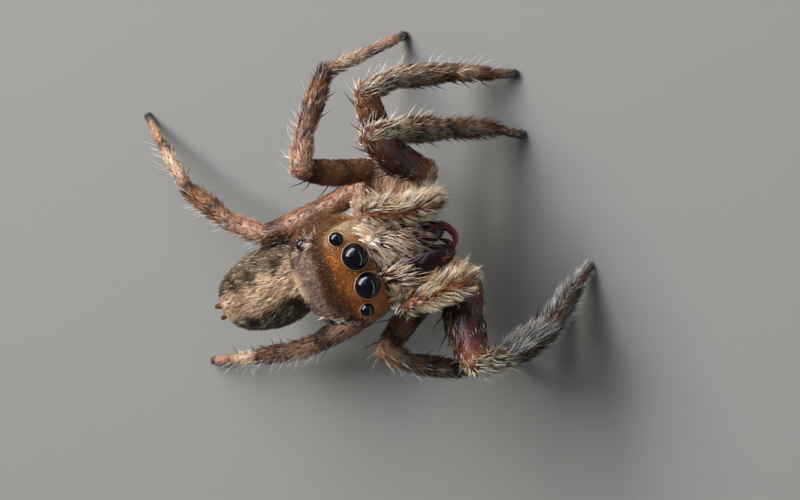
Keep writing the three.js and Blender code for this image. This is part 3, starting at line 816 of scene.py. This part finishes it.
# %% Eyes
lens = finish_material(new_material("clear_lens_over_black"), {
    "Base Color": (*linear("#050308"), 1), "Roughness": 0.04, "Specular IOR Level": 0.33})
for eye in eyes:
    shell = Shell(lambda u, v: eye.place + eye.radius * ball(u, v), rings=40, around=64)
    piece = add_object(flat_mesh("lens_" + eye.name, shell.verts, shell.tris, material=lens))
    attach(piece, "root")
    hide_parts("eye_" + eye.name)
    print(piece.name, "is", round(2 * eye.radius, 2), "mm across")

# %% [markdown]
# ## Jaws and fangs
#
# Each jaw is a stout polished pillar, nearly black, that leans forward under the face, with a
# hinged fang across its tip. The left fang stands a little open and the right one is folded. A
# fang is a horn-like crescent: a circle whose radius falls to a point, carried along an arc
# through three points.

# %% Jaws and fangs
JAW_TOP, JAW_TIP = (0.4, 0.12, -0.62), (0.28, -0.76, -1.78)
JAW_RADIUS, JAW_ABOVE, JAW_BELOW = 0.365, 0.22, 0.24    # reach past its top and tip, mm
JAW_SWING = -0.135                     # the pair swings to the spider's right by this at the tips
FANGS = {1: ((0.44, -0.76, -1.93), (0.08, -0.97, -2.12), (-0.27, -0.86, -1.95)),
         -1: ((0.42, -0.66, -1.88), (0.16, -0.72, -2.06), (-0.06, -0.52, -1.92))}
FANG_RADIUS = 0.105


def from_jaws(side, points):
    """Points of the jaw on one side, swung sideways the more the lower they lie."""
    swung = [(side * x + JAW_SWING * (JAW_TOP[2] - z) / (JAW_TOP[2] - JAW_TIP[2]), y, z)
             for x, y, z in points]
    return from_body(swung)


def jaw(side):
    """A barrel: its radius follows a rounded box along the axis and narrows a little to the tip."""
    top, tip = from_jaws(side, (JAW_TOP, JAW_TIP))
    length, axis = float(np.linalg.norm(tip - top)), unit(tip - top)
    across = unit(np.cross(axis, turn_body((0, -1.0, 0.6))))
    front = np.cross(across, axis)

    def surface(u, v):
        share = (1 - np.cos(np.pi * v)) / 2
        radius = JAW_RADIUS * np.sqrt(1 - np.abs(2 * share - 1) ** 3) * (1.06 - 0.22 * share)
        at = top + (-JAW_ABOVE + (length + JAW_ABOVE + JAW_BELOW) * share)[:, None] * axis
        return at + radius[:, None] * spoke(u, front, across)
    return surface


def fang(side):
    """A parabola through three points, with a radius that falls from the root to the tip."""
    a, b, c = from_jaws(side, FANGS[side])

    def middle(t):
        t = t[:, None]
        return a * (1 - t) * (1 - 2 * t) + b * 4 * t * (1 - t) + c * t * (2 * t - 1)

    def surface(u, v):
        ahead = unit(middle(v + 0.01) - middle(v - 0.01))
        first = unit(np.cross(ahead, UP))
        radius = FANG_RADIUS * np.sqrt(np.clip(v / 0.06, 0, 1)) * (1 - v) ** 0.4
        return middle(v) + radius[:, None] * spoke(u, first, np.cross(ahead, first))
    return surface


def polished(name, colour, roughness, specular, sheen=0.0):
    """Polished dark horn: a deep mottled colour, a gloss, a faint grain and a violet bloom."""
    material = new_material(name)
    noise = grain(material, 0.12)
    colours = add_node(material, "MixRGB", {"Fac": noise, "Color1": (*linear(colour), 1),
                                            "Color2": (*linear(colour) * 0.35, 1)})
    raised = add_node(material, "Bump", {"Height": noise, "Strength": 0.15, "Distance": 0.02 * MM})
    return finish_material(material, {
        "Base Color": colours.outputs[0], "Roughness": roughness, "Specular IOR Level": specular,
        "Sheen Weight": sheen, "Sheen Tint": (*linear("#9a8cc8"), 1), "Normal": raised.outputs[0]})


jaw_horn = polished("jaw_horn", "#1d0608", 0.3, 0.25, sheen=0.05)
fang_horn = polished("fang_horn", "#5c0f08", 0.2, 0.5)
jaws = {}
for side, letter in ((1, "L"), (-1, "R")):
    jaws[side] = Shell(jaw(side), rings=40, around=48)
    for name, shell, node, finish in (
            ("jaw", jaws[side], "chelicera", jaw_horn),
            ("fang_horn", Shell(fang(side), rings=32, around=20), "fang", fang_horn)):
        piece = add_object(flat_mesh(f"{name}_{letter}", shell.verts, shell.tris, material=finish))
        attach(piece, "root")
        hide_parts(f"{node}_{letter}")
        print(piece.name, len(shell.tris), "triangles")

# %% [markdown]
# ## The coat
#
# Each hair is a solid spike with three sides that narrows to a point. Its middle line leaves the
# skin at an angle and bends down towards the lie of the coat, as combed fur does. All hairs of a
# piece are worked out at once as arrays. Each hair's place on the OFBake map is a tiny patch at
# its root's u and v, so the baked colours stay the colours at the root.

# %% Where hairs are rooted
PATCH = 0.003                          # width of a hair's patch on the map
ROOT_DEPTH = 0.012                     # how deep a hair starts under the skin, mm


def scatter(shell, count, rng, weight=None):
    """Roots spread over a shell: triangles are drawn by area, times a weight at their middle."""
    corners = shell.verts[shell.tris]
    area = np.linalg.norm(np.cross(corners[:, 1] - corners[:, 0], corners[:, 2] - corners[:, 0]), axis=1)
    if weight is not None:
        area = area * np.clip(weight(corners.mean(1), *shell.uvs.mean(1).T), 0, None)
    pick = rng.choice(len(area), count, p=area / area.sum())
    a, b = rng.random((2, count))
    over = a + b > 1
    a[over], b[over] = 1 - a[over], 1 - b[over]
    share = np.stack([1 - a - b, a, b], -1)[..., None]
    u, v = (shell.uvs[pick] * share).sum(1).T
    at, normal, along = shell.frame_at(u, v)
    return {"at": at, "normal": normal, "along": along, "u": u % 1, "v": v}


def only(roots, keep):
    """The roots that a mask keeps."""
    return {name: values[keep] for name, values in roots.items()}


def clear_of_eyes(roots, room):
    """Only the roots outside all the eyes, each made larger by the room factor."""
    keep = [np.linalg.norm(roots["at"] - eye.place, axis=1) > eye.radius * room for eye in eyes]
    return only(roots, np.all(keep, axis=0))


def bare_of_limbs(roots, own=None):
    """Only the roots that no other limb segment covers, as at the joints."""
    covered = [segment.covers(roots["at"]) for segment in limb_segments if segment is not own]
    return only(roots, ~np.any(covered, axis=0))


def map_place(roots, low=0, high=1):
    """Writes the roots' places on the unwrap: u across, and v in a strip between low and high."""
    roots["map_u"] = 0.01 + 0.98 * roots["u"]
    roots["map_v"] = low + (high - low) * (0.02 + 0.96 * roots["v"])
    return roots


def turned(direction, normal, angle):
    """Directions turned about the normal by an angle for each."""
    return direction * np.cos(angle)[:, None] + np.cross(normal, direction) * np.sin(angle)[:, None]


def ruffled(direction, roots, spread, rng):
    """Directions turned at random about each root's normal, by the given spread in radians."""
    return turned(direction, roots["normal"], rng.normal(0, spread, len(direction)))


# %% Hairs as arrays
def nearest(points, guides):
    """The index of the nearest guide for each point."""
    parts = np.array_split(points, len(points) // 3000 + 1)
    return np.concatenate([np.argmin((guides**2).sum(1) - 2 * part @ guides.T, axis=1) for part in parts])


def spike_pattern(rings):
    """The triangles of one spike with three sides: its base, its walls and its tip."""
    pattern = [(0, 2, 1)]
    for base in range(0, 3 * rings - 3, 3):
        for a, b in ((base, base + 1), (base + 1, base + 2), (base + 2, base)):
            pattern += [(a, b, b + 3), (a, b + 3, a + 3)]
    base, tip = 3 * rings - 3, 3 * rings
    return np.array(pattern + [(base + k, base + (k + 1) % 3, tip) for k in range(3)])


def drawn(span, count, rng):
    """A number for each hair, anywhere between a span's two ends, or the one number it is."""
    return rng.uniform(*span, count) if isinstance(span, tuple) else np.full(count, span)


def spikes(roots, lie, shape, root_tone, tip_tone, rng, rings=2, tuft=0, draw=0.0, lie_end=None):
    """Vertices, triangles, colours and map places of many hairs.

    The shape gives the spans of length, width, lift and curl. The middle line starts along
    cos(lift) lie + sin(lift) normal, and its direction goes evenly to one whose lift is smaller
    by the share curl, along lie_end if given. With tuft hairs to a tuft, the line is drawn
    towards the tuft's own line by draw times t^1.4, and its colours by 0.7 draw. Rings of three
    points narrow to the tip."""
    count, normal = len(lie), roots["normal"]
    length, width, lift, curl = (drawn(span, count, rng) for span in shape)
    lie, lie_end = (unit(d - np.einsum("ij,ij->i", d, normal)[:, None] * normal)
                    for d in (lie, lie if lie_end is None else lie_end))
    across = np.cross(normal, lie)
    end_lift = lift * (1 - curl)
    leave, arrive = (np.cos(angle)[:, None] * way + np.sin(angle)[:, None] * normal
                     for angle, way in ((lift, lie), (end_lift, lie_end)))
    t = np.linspace(0, 1, rings + 1)
    line = (roots["at"] - ROOT_DEPTH * normal)[:, None] + length[:, None, None] * (
        leave[:, None] * t[:, None] + (arrive - leave)[:, None] * (t**2 / 2)[:, None])
    if tuft:
        guides = rng.choice(count, count // tuft + 1, replace=False)
        guide = guides[nearest(roots["at"], roots["at"][guides])]
        line = line + draw * (t**1.4)[:, None] * (line[guide] - line)
        root_tone, tip_tone = (c + 0.7 * draw * (c[guide] - c) for c in (root_tone, tip_tone))
    above = np.cross(unit(np.gradient(line, axis=1)), across[:, None])
    turn = rng.uniform(0, 2 * np.pi, count)[:, None] + np.array([0, 2, 4]) * np.pi / 3
    round_ = (np.cos(turn)[:, None, :, None] * across[:, None, None]
              + np.sin(turn)[:, None, :, None] * above[:, :rings, None])
    radius = (width[:, None] / 2 * (1 - t[:rings] ** 1.6))[:, :, None, None]
    walls = line[:, :rings, None] + radius * round_
    verts = np.concatenate([walls.reshape(count, rings * 3, 3), line[:, rings:]], 1)
    tris = (spike_pattern(rings)[None] + np.arange(count)[:, None, None] * (3 * rings + 1)).reshape(-1, 3)
    level = np.append(np.repeat(t[:rings], 3), 1.0)
    tone = root_tone[:, None] + (tip_tone - root_tone)[:, None] * (level**0.7)[None, :, None]
    spot = np.stack([np.append(np.tile([-0.5, 0.5, 0.0], rings), 0.0), level - 0.5], -1) * PATCH
    uv = np.stack([roots["map_u"], roots["map_v"]], -1)[:, None] + spot
    return verts.reshape(-1, 3), tris, tone.reshape(-1, 3), uv.reshape(-1, 2)


# %% Pieces of the coat
triangles = {}
FLOOR_GAP = 0.004                      # no hair comes nearer to the floor than this, mm


def joined(batches):
    """Batches of hairs as one set of vertices, triangles, colours and map places."""
    starts = np.cumsum([0] + [len(b[0]) for b in batches])
    tris = np.vstack([b[1] + start for b, start in zip(batches, starts)])
    verts, tone, uv = (np.vstack([b[k] for b in batches]) for k in (0, 2, 3))
    return verts, tris, tone, uv


def add_coat(name, batches):
    """Joins batches of hairs into one piece of the coat, lifted clear of the floor."""
    verts, tris, tone, uv = joined(batches)
    verts[:, 2] = np.maximum(verts[:, 2], FLOOR_GAP)
    piece = add_object(flat_mesh("coat_" + name, verts, tris, tone, uv, hair))
    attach(piece, "root")
    triangles[name] = len(tris)
    print(f"coat_{name}: {len(tris)} triangles")


def pick_tones(rng, base, choices):
    """For each hair a colour: its skin's own (None) or one of the palette's, each with its share."""
    shares = np.array([share for _, share in choices])
    chosen = rng.choice(len(choices), len(base), p=shares / shares.sum())
    tones = np.array(base)
    for i, (name, _) in enumerate(choices):
        if name is not None:
            tones[chosen == i] = PALETTE[name]
    return tones * rng.uniform(0.78, 1.18, (len(base), 1))


# %% [markdown]
# ## Face and back hair
#
# The face wears very short golden hairs that lie close, radiate from the middle between the big
# eyes and make a pale fringe round each eye. Behind the eyes the hair lies backwards over a grey
# brown head. A few thin black bristles and white tufts stand up beside the small eyes.

# %% Face and back
HEADS = {      # number of hairs, their length and width in mm, and the middle of their lift
    "face": (14500, (0.07, 0.12), (0.010, 0.015), 0.35), "back": (9500, (0.14, 0.24), (0.013, 0.019), 0.5)}


def head_weight(name):
    """Where a head's hairs grow: the face, or all behind it but not under the edge."""
    def weight(p, u, v):
        _, y, z = np.moveaxis(to_body(p), -1, 0)
        behind = smooth(0.45, 0.7, y)
        return 1 - behind if name == "face" else np.where(z < through(CARAPACE_BOTTOM, y) + 0.12, 0, behind)
    return weight


rng = np.random.default_rng(11)
batches = {}
for name, (number, reach, width, rise) in HEADS.items():
    roots = scatter(shells["carapace"], number, rng, head_weight(name))
    roots = map_place(clear_of_eyes(roots, 1.04))
    away = turn_body(to_body(roots["at"]) * (1.0, 0.25, 1.0) + (0, 0.1, 0.02))
    back = smooth(0.1, 0.6, to_body(roots["at"])[:, 1])[:, None]
    lie = ruffled(unit(away) * (1 - back) + roots["along"] * back, roots, 0.35, rng)
    ground = carapace_tone(roots["at"])
    tip = pick_tones(rng, ground * 1.3, [(None, 0.87), ("straw", 0.05), ("gold", 0.05), ("umber", 0.03)])
    shape = (reach, width, (0.5 * rise, 1.5 * rise), (0.3, 0.9))
    batches[name] = [spikes(roots, lie, shape, ground * 0.4, tip, rng, tuft=5, draw=0.5)]
print("roots on the back:", len(lie))

# %% Hair round the eyes, and bristles
FRINGE_TONES = [("gold", 0.5), ("straw", 0.25), ("rust", 0.25)]
WHITE_TUFT = [("white", 0.5), ("cream", 0.3), ("mauve", 0.2)]
BRISTLES = 26
for eye in eyes:
    small = not eye.in_front
    number = int(70 + 500 * eye.radius * eye.in_front)
    angle = rng.uniform(0, 2 * np.pi, number)
    out = np.cos(angle)[:, None] * eye.first + np.sin(angle)[:, None] * eye.second
    ring = eye.circle + 1.6 * eye.thick + rng.uniform(0, 0.12 if small else 0.02, number)
    at = eye.place + eye.axis * eye.forward * 0.6 + out * ring[:, None]
    roots = {"at": at, "normal": np.broadcast_to(eye.axis, at.shape), "out": out,
             "map_u": 0.5 + 0.1 * np.cos(angle), "map_v": 0.05 + 0.03 * np.sin(angle)}
    if small:
        roots = only(roots, out @ turn_body((0, 1.0, 0.3)) > rng.uniform(-0.5, 0.4, number))
    tone = pick_tones(rng, roots["at"] * 0, WHITE_TUFT if small else FRINGE_TONES)
    lie = ruffled(unit(roots["out"] + turn_body((0, 0.9, 0.1)) * small), roots, 0.35, rng)
    shape = ((0.12, 0.3) if small else (0.04, 0.09), (0.008, 0.012), (0.2, 0.7), (0.2, 0.6))
    batches["face"].append(spikes(roots, lie, shape, tone * 0.6, tone, rng))


def crown(p, u, v):
    """The top of the head behind the face, where the bristles stand."""
    x, y, z = np.moveaxis(to_body(p), -1, 0)
    return (np.abs(x) < 0.95) * smooth(0.2, 0.5, y) * (z > 0.2)


roots = map_place(scatter(shells["carapace"], BRISTLES, rng, crown))
black = laid_over(roots["at"], "black", ())
shape = ((0.3, 0.55), (0.012, 0.016), (0.7, 1.3), (0.2, 0.6))
batches["back"].append(spikes(roots, -roots["along"], shape, black, black, rng, rings=4))
for name in HEADS:
    add_coat(name, batches[name])

# %% [markdown]
# ## Hair of the jaws
#
# Long cream hairs hang from the lower edge of the face over the jaws and cross in the middle. More
# grow on the jaws themselves, pale near the face and darker and thinner towards the bare dark
# tips, where short dark hairs fringe the inner edges.

# %% Fringe over the jaws
FRINGE_HAIRS, FACE_EDGE = 1600, -0.66  # number, and height of the face's lower edge, body frame, mm


def fringe_roots(number, rng):
    """Places along the lower edge of the face, closer together on the spider's left."""
    x = 0.98 - 1.78 * rng.random(number) ** 1.15
    up = (0.18 + 0.14 * smooth(0.2, 0.6, x)) * rng.random(number) ** 1.4
    z = FACE_EDGE + up + 0.1 * smooth(0.3, 0.8, x)
    y = -0.05 - 0.02 * rng.random(number) + 0.16 * np.abs(x) ** 2.5
    normal = unit(turn_body(np.stack([0.25 * x, -np.ones(number), np.full(number, -0.15)], -1)))
    return {"at": from_body(np.stack([x, y, z], -1)), "normal": normal, "map_u": 0.5 + 0.4 * x,
            "map_v": 0.08 + 0.1 * (z - FACE_EDGE), "x": x, "up": up}


rng = np.random.default_rng(12)
roots = clear_of_eyes(fringe_roots(FRINGE_HAIRS, rng), 1.08)
count, left = len(roots["at"]), smooth(-0.3, 0.7, roots["x"])
sway = rng.normal(0, 0.22, count)
down = turn_body(np.stack([sway - 0.85, np.full(count, -0.2), -0.42 - 0.3 * left], -1))
over = turn_body(np.stack([sway - 1.0, np.full(count, -0.1), 0.12 - 0.3 * left], -1))
tone = pick_tones(rng, down * 0, [("cream", 0.5), ("rose", 0.2), ("straw", 0.25), ("mauve", 0.05)])
tone = tone * rng.uniform(0.45, 1.4, (count, 1))
longer = (1 + 0.45 * left) * smooth(0.42, 0.12, roots["up"])
shape = ((0.3 * longer, 0.62 * longer), (0.014, 0.022), (0.3, 0.9), (0.6, 1.1))
batches = [spikes(roots, down, shape, tone * 0.6 + PALETTE["maroon"] * 0.3, tone * 1.5, rng,
                  rings=5, tuft=5, draw=0.88, lie_end=over)]
print("roots of the fringe:", count)

# %% Hair on the jaws
JAW_HAIR = {                           # number, how far down it grows, and its strip of the map
    1: (850, 0.78, (0.2, 0.55)), -1: (380, 0.6, (0.6, 0.95))}
JAW_TIP_HAIRS = 150
FRONT_SHAPE = ((0.3, 0.6), (0.011, 0.017), (0.3, 0.7), (0.4, 0.9))
TIP_SHAPE = ((0.12, 0.22), (0.012, 0.017), (0.3, 0.7), (0.4, 0.9))


def jaw_batch(side, number, weight, spread_out, tones, shape, fade):
    """Hairs on one place of a jaw, which fade downwards if fade is true."""
    roots = map_place(scatter(jaws[side], number, rng, weight), *JAW_HAIR[side][2])
    lie = ruffled(roots["along"], roots, 0.3, rng)
    over = roots["along"] * (1.0 - 0.6 * (side > 0)) - turn_body((spread_out, 0, 0))
    tone = pick_tones(rng, lie * 0, tones)
    if fade:
        tone = tone * rng.uniform(0.45, 1.25, (len(lie), 1)) * (2.4 - 3.0 * roots["v"]).clip(0.2)[:, None]
    return spikes(roots, lie, shape, tone * 0.15 + PALETTE["maroon"] * 0.4, tone * 1.2, rng, rings=4,
                  tuft=4, draw=0.8, lie_end=over)


for side, (number, bare, _) in JAW_HAIR.items():
    batches.append(jaw_batch(
        side, number, lambda p, u, v: (np.cos(2 * np.pi * u) > -0.4) * smooth(bare, bare - 0.3, v),
        0.9 * (side > 0), [("cream", 0.3), ("rose", 0.35), ("straw", 0.2), ("umber", 0.15)],
        FRONT_SHAPE, fade=True))
    batches.append(jaw_batch(
        side, JAW_TIP_HAIRS,
        lambda p, u, v: (np.sin(2 * np.pi * u) * side < -0.3) * band(v, 0.8, 0.06, 0.05),
        0.0, [("dark", 0.6), ("rust", 0.25), ("mauve", 0.15)], TIP_SHAPE, fade=False))
add_coat("jaws", batches)

# %% [markdown]
# ## Hair of the feelers
#
# The feelers look like feathers. A short dark and rust undercoat lies close to the skin. From a
# rust-coloured line down the front, long locks of straw and cream hair sweep out over it to both
# sides and forwards to the tip. They are longest on the spider's left of each feeler.

# %% Feeler coats
def limb_roots(segment, number, rng, strip, weight=None):
    """Scattered roots on a segment, with their share t of the segment's length."""
    roots = scatter(segment.shell, number, rng, weight)
    roots["t"] = segment.along(roots["v"])
    return bare_of_limbs(map_place(roots, *strip), segment)


LAYERS = {                             # share of the hairs, length, width, tuft, draw, and tones
    "under": (0.46, (0.16, 0.30), (0.014, 0.020), 4, 0.4,
              [("rust", 0.45), ("umber", 0.45), ("straw", 0.1)]),
    "locks": (0.54, (0.36, 0.66), (0.014, 0.020), 6, 0.85,
              [("cream", 0.55), ("straw", 0.4), ("ash", 0.05)])}
FEELER_HAIRS = (850, 1650, 1900)       # on each of a feeler's three segments


def feeler_batch(segment, number, strip, rng, share, reach, width, tuft, draw, tones):
    """One layer of a feeler's segment: hairs part from the front line to both sides."""
    roots = limb_roots(segment, int(number * share), rng, strip)
    count, angle = len(roots["at"]), 2 * np.pi * roots["u"]
    knee = smooth(0.22, 0.0, roots["t"]) * (segment.kind == "palp_tibia")
    part = np.sin(angle) * 1.05 * (1 + 0.4 * knee) + rng.normal(0, 0.3, count) * (1 + 2 * knee)
    part = part * smooth(-0.6, 0.3, np.cos(angle))
    lie, lie_end = (turned(roots["along"], roots["normal"], -part * k) for k in (1.35, 0.35))
    line = band(np.sin(angle), 0, 0.16, 0.2) * (np.cos(angle) > 0)
    tone = pick_tones(rng, roots["at"] * 0, tones)
    tone = blend_to(tone, PALETTE["rust"], line * (rng.random(count) < 0.8))
    end = smooth(0.7, 1.0, roots["t"]) * (segment.kind == "palp_tarsus")
    tone = blend_to(tone, PALETTE["slate"], end * 0.75)
    long_ = (1 - 0.5 * line - 0.45 * end - 0.35 * knee) * (1 + 0.3 * roots["normal"][:, 0])
    shape = ((reach[0] * long_, reach[1] * long_), width, (0.3 + 0.4 * knee, 0.85 + 0.4 * knee),
             (0.3 + 0.5 * knee, 1.0 + 0.5 * knee))
    return spikes(roots, lie, shape, tone * 0.12 + PALETTE["umber"] * 0.3, tone * 1.1, rng, rings=4,
                  tuft=tuft, draw=draw, lie_end=lie_end)


for letter, row in palps.items():
    rng = np.random.default_rng(20 + ord(letter))
    batches = [feeler_batch(segment, number, (i / 3, (i + 1) / 3), rng, *layer)
               for i, (segment, number) in enumerate(zip(row, FEELER_HAIRS)) for layer in LAYERS.values()]
    add_coat("palp_" + letter, batches)

# %% [markdown]
# ## Hair of the legs
#
# The legs carry short hairs that lie towards the foot. On the front legs many of them are sandy
# or cream over dark skin, thick on knee and shin and nearly missing on the polished front of the
# thigh. The right first leg has darker hair with a long blue-grey fur under it. Long pale hairs
# stand off the top of the shins, and each foot ends in a dark brush.

# %% What grows on which segment
LEG_HAIR = {                           # hairs for each square mm, length from, to, and the lift
    "coxa": (420, 0.14, 0.24, 0.5), "femur": (330, 0.13, 0.22, 0.4),
    "patella": (430, 0.17, 0.32, 0.5), "tibia": (480, 0.17, 0.32, 0.5),
    "metatarsus": (520, 0.13, 0.22, 0.65), "tarsus": (560, 0.09, 0.16, 0.55)}
FRONT_HAIR = {
    "coxa": [("cream", 0.5), (None, 0.5)],
    "femur": [("dark", 0.25), (None, 0.4), ("rust", 0.1), ("cream", 0.25)],
    "patella": [("cream", 0.45), ("sand", 0.3), ("dark", 0.1), (None, 0.15)],
    "tibia": [("sand", 0.28), ("cream", 0.14), ("rust", 0.12), ("dark", 0.24), (None, 0.22)],
    "metatarsus": [(None, 0.25), ("olive", 0.25), ("dark", 0.25), ("rust", 0.25)],
    "tarsus": [(None, 0.8), ("ash", 0.2)]}
HIND_HAIR = {
    "coxa": [("cream", 0.4), (None, 0.6)], "femur": [(None, 0.85), ("ash", 0.15)],
    "patella": [(None, 0.7), ("ash", 0.2), ("dark", 0.1)],
    "tibia": [(None, 0.6), ("ash", 0.1), ("dark", 0.3)],
    "metatarsus": [(None, 0.6), ("ash", 0.3), ("dark", 0.1)], "tarsus": [(None, 0.7), ("ash", 0.3)]}
R1_HAIR = dict.fromkeys(
    ("tibia", "metatarsus"), [("teal", 0.2), ("dark", 0.35), ("umber", 0.2), ("olive", 0.25)])
UNDER_FUR = {                          # the right first leg's: number, length, and how far up it grows
    "tibia": (700, (0.3, 0.55), 0.3), "metatarsus": (800, (0.26, 0.5), 0.8),
    "tarsus": (400, (0.14, 0.3), 0.8)}
UNDER_TONES = [("teal", 0.45), ("ash", 0.35), ("white", 0.2)]
LONG_TONES, BRUSH_TONES = [("white", 0.7), ("ash", 0.3)], [("slate", 0.7), ("dark", 0.3)]
LONG_HAIRS, MORE_LONG_HAIRS, BRUSH_HAIRS = 18, 28, 240    # numbers on one segment
FURRIER = {"R1": 1.25, "L1": 1.1}      # legs with longer hair, and how much longer
BELOW_KNEE = ("patella", "tibia", "metatarsus")
# how much paler the hair is than its skin on each leg, and painted light: legs that lie in shade get
# brighter hair
HAIR_GAIN_AND_PAINTED_LIGHT = {"L1": 1.2, "L2": 1.8, "L3": 1.5, "L4": 1.2, "R1": 1.3, "R2": 2.4, "R3": 1.5, "R4": 1.4}
FRONT = turn_body((0.0, -0.9, 0.4))


def upper(low, high):
    """A weight that grows from low to high over the cosine of the turn from the top."""
    return lambda p, u, v: smooth(low, high, np.cos(2 * np.pi * u))


def off_polished_front(segment):
    """A weight that thins the hair out where a thigh faces forwards."""
    return lambda p, u, v: 1 - 0.7 * smooth(0.2, 0.7, spoke(u, segment.top, segment.side) @ FRONT)


# %% Leg coats
def leg_coat(name, segments, rng):
    """All hairs of one leg: the lying coat, long pale hairs on top, and the brush of the foot."""
    batches, front = [], name[1] in "12"

    def grow(i, number, length, width, lift, tones, weight=None, spread=0.3, **more):
        segment = segments[i]
        roots = limb_roots(segment, number, rng, (i / 6, (i + 1) / 6), weight)
        ground = limb_tone(segment, roots["u"], roots["t"], roots["at"])
        # painted light: the hair of legs that lie in shade is made brighter
        tone = pick_tones(rng, ground * HAIR_GAIN_AND_PAINTED_LIGHT[name], tones)
        below = smooth(0.0, -0.6, np.cos(2 * np.pi * roots["u"]))
        tone = blend_to(tone, ground, below * 0.6 * (name != "R1"))
        lie = ruffled(roots["along"], roots, spread, rng)
        batches.append(spikes(roots, lie, (length, width, lift, (0.2, 0.9)), tone * 0.5, tone, rng, **more))

    for i, segment in enumerate(segments):
        kind = segment.kind
        per_area, short, long_, rise = LEG_HAIR[kind]
        scale = FURRIER.get(name, 1.0) if kind in BELOW_KNEE else 1.0
        if (name, kind) == ("L1", "metatarsus"):
            scale, rise = 1.5, 0.85
        number = int(per_area * 2 * np.pi * segment.r_middle * segment.length / scale**0.5)
        tones = (R1_HAIR if name == "R1" else {}).get(kind) or (FRONT_HAIR if front else HIND_HAIR)[kind]
        weight = off_polished_front(segment) if kind == "femur" and name[1] == "1" else None
        grow(i, number, (short * scale, long_ * scale), (0.014, 0.021), (0.5 * rise, 1.3 * rise), tones,
             weight, tuft=5, draw=0.4)
        if name == "R1" and kind in UNDER_FUR:
            number, length, above = UNDER_FUR[kind]
            grow(i, number, length, (0.012, 0.018), (0.5, 1.05), UNDER_TONES,
                 upper(above, above - 0.8), rings=3, tuft=5, draw=0.5)
        elif kind in BELOW_KNEE and (name, kind) != ("L1", "metatarsus"):
            many = front and name != "R1" and kind != "metatarsus"
            grow(i, MORE_LONG_HAIRS if many else LONG_HAIRS, (0.3, 0.6), (0.010, 0.014), (0.8, 1.35),
                 LONG_TONES, upper(0.1, 0.8), rings=3)
        if kind == "tarsus":
            grow(i, BRUSH_HAIRS, (0.08, 0.15), (0.012, 0.017), (0.2, 0.9), BRUSH_TONES,
                 lambda p, u, v: smooth(0.7, 0.9, v), spread=0.5)
    return batches


for index, (name, segments) in enumerate(legs.items()):
    add_coat("leg_" + name, leg_coat(name, segments, np.random.default_rng(40 + index)))

# %% [markdown]
# ## Hair of the abdomen and breast
#
# The abdomen's hairs lie backwards and carry its markings: tan down the middle, dark spots beside
# it and grey-brown sides, with some pale hairs mixed in everywhere. The breastplate between the
# legs has thin pale hair.

# %% Abdomen and breast coats
ABDOMEN_HAIRS, BREAST_HAIRS = 13500, 1500
rng = np.random.default_rng(60)
roots = map_place(scatter(shells["abdomen"], ABDOMEN_HAIRS, rng))
tone = pick_tones(rng, abdomen_tone(roots["at"]) * 1.3, [(None, 0.87), ("cream", 0.05), ("dark", 0.08)])
lie = ruffled(roots["along"], roots, 0.3, rng)
shape = ((0.2, 0.36), (0.018, 0.026), (0.2, 0.6), (0.3, 0.8))
add_coat("abdomen", [spikes(roots, lie, shape, tone * 0.55, tone, rng, tuft=6, draw=0.4)])

roots = bare_of_limbs(map_place(scatter(shells["breastplate"], BREAST_HAIRS, rng)))
tone = pick_tones(rng, roots["at"] * 0, [("tan", 0.5), ("cream", 0.3), ("umber", 0.2)])
lie = ruffled(roots["along"], roots, 0.4, rng)
shape = ((0.12, 0.22), (0.014, 0.02), (0.2, 0.6), (0.3, 0.8))
add_coat("breast", [spikes(roots, lie, shape, tone * 0.5, tone, rng)])

# %% [markdown]
# ## Spines
#
# Black spines stand off the legs in a fixed order, as they do on a living spider: a few along the
# top of each thigh, and pairs under the shins and ankles that help to hold prey.

# %% Spines
SPINE_PLACES = {                       # share of the length, and turn from the top
    "femur": [(0.4, 0.0), (0.62, 0.04), (0.84, -0.06), (0.9, 0.12)], "patella": [(0.5, 0.25), (0.5, 0.75)],
    "tibia": [(0.3, 0.42), (0.3, 0.58), (0.6, 0.42), (0.6, 0.58), (0.9, 0.4), (0.9, 0.6), (0.5, 0.22)],
    "metatarsus": [(0.25, 0.4), (0.25, 0.6), (0.75, 0.4), (0.75, 0.6)]}
SPINE_WIDTH, SPINE_CURL = 0.036, 0.4   # mm, and share of the lift; the same for all
rng = np.random.default_rng(70)
batches = []
for segment in limb_segments:
    if segment.kind not in SPINE_PLACES:
        continue
    t, u = np.array(SPINE_PLACES[segment.kind]).T
    grid = np.linspace(0, 1, 200)
    at, normal, along = segment.shell.frame_at(u, np.interp(t, segment.along(grid), grid))
    roots = {"at": at, "normal": normal, "map_u": u, "map_v": t}
    long_ = 0.62 if segment.kind == "femur" else 0.42
    shape = ((0.8 * long_, 1.1 * long_), SPINE_WIDTH, (0.6, 0.95), SPINE_CURL)
    batches.append(spikes(roots, along, shape, at * 0, at * 0, rng, rings=5))
verts, tris, _, _ = joined(batches)
spine_horn = polished("spine_horn", "#1c1310", 0.3, 0.3)
spines = add_object(flat_mesh("spines", verts, tris, material=spine_horn))
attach(spines, "root")
print("spines:", len(tris), "triangles")

# %% [markdown]
# ## Finish
#
# The number of the coat's triangles is printed. The coat has to stay within its budget of
# triangles, and the whole model within the box of the solids.

# %% Finish
print("coat triangles:", sum(triangles.values()))
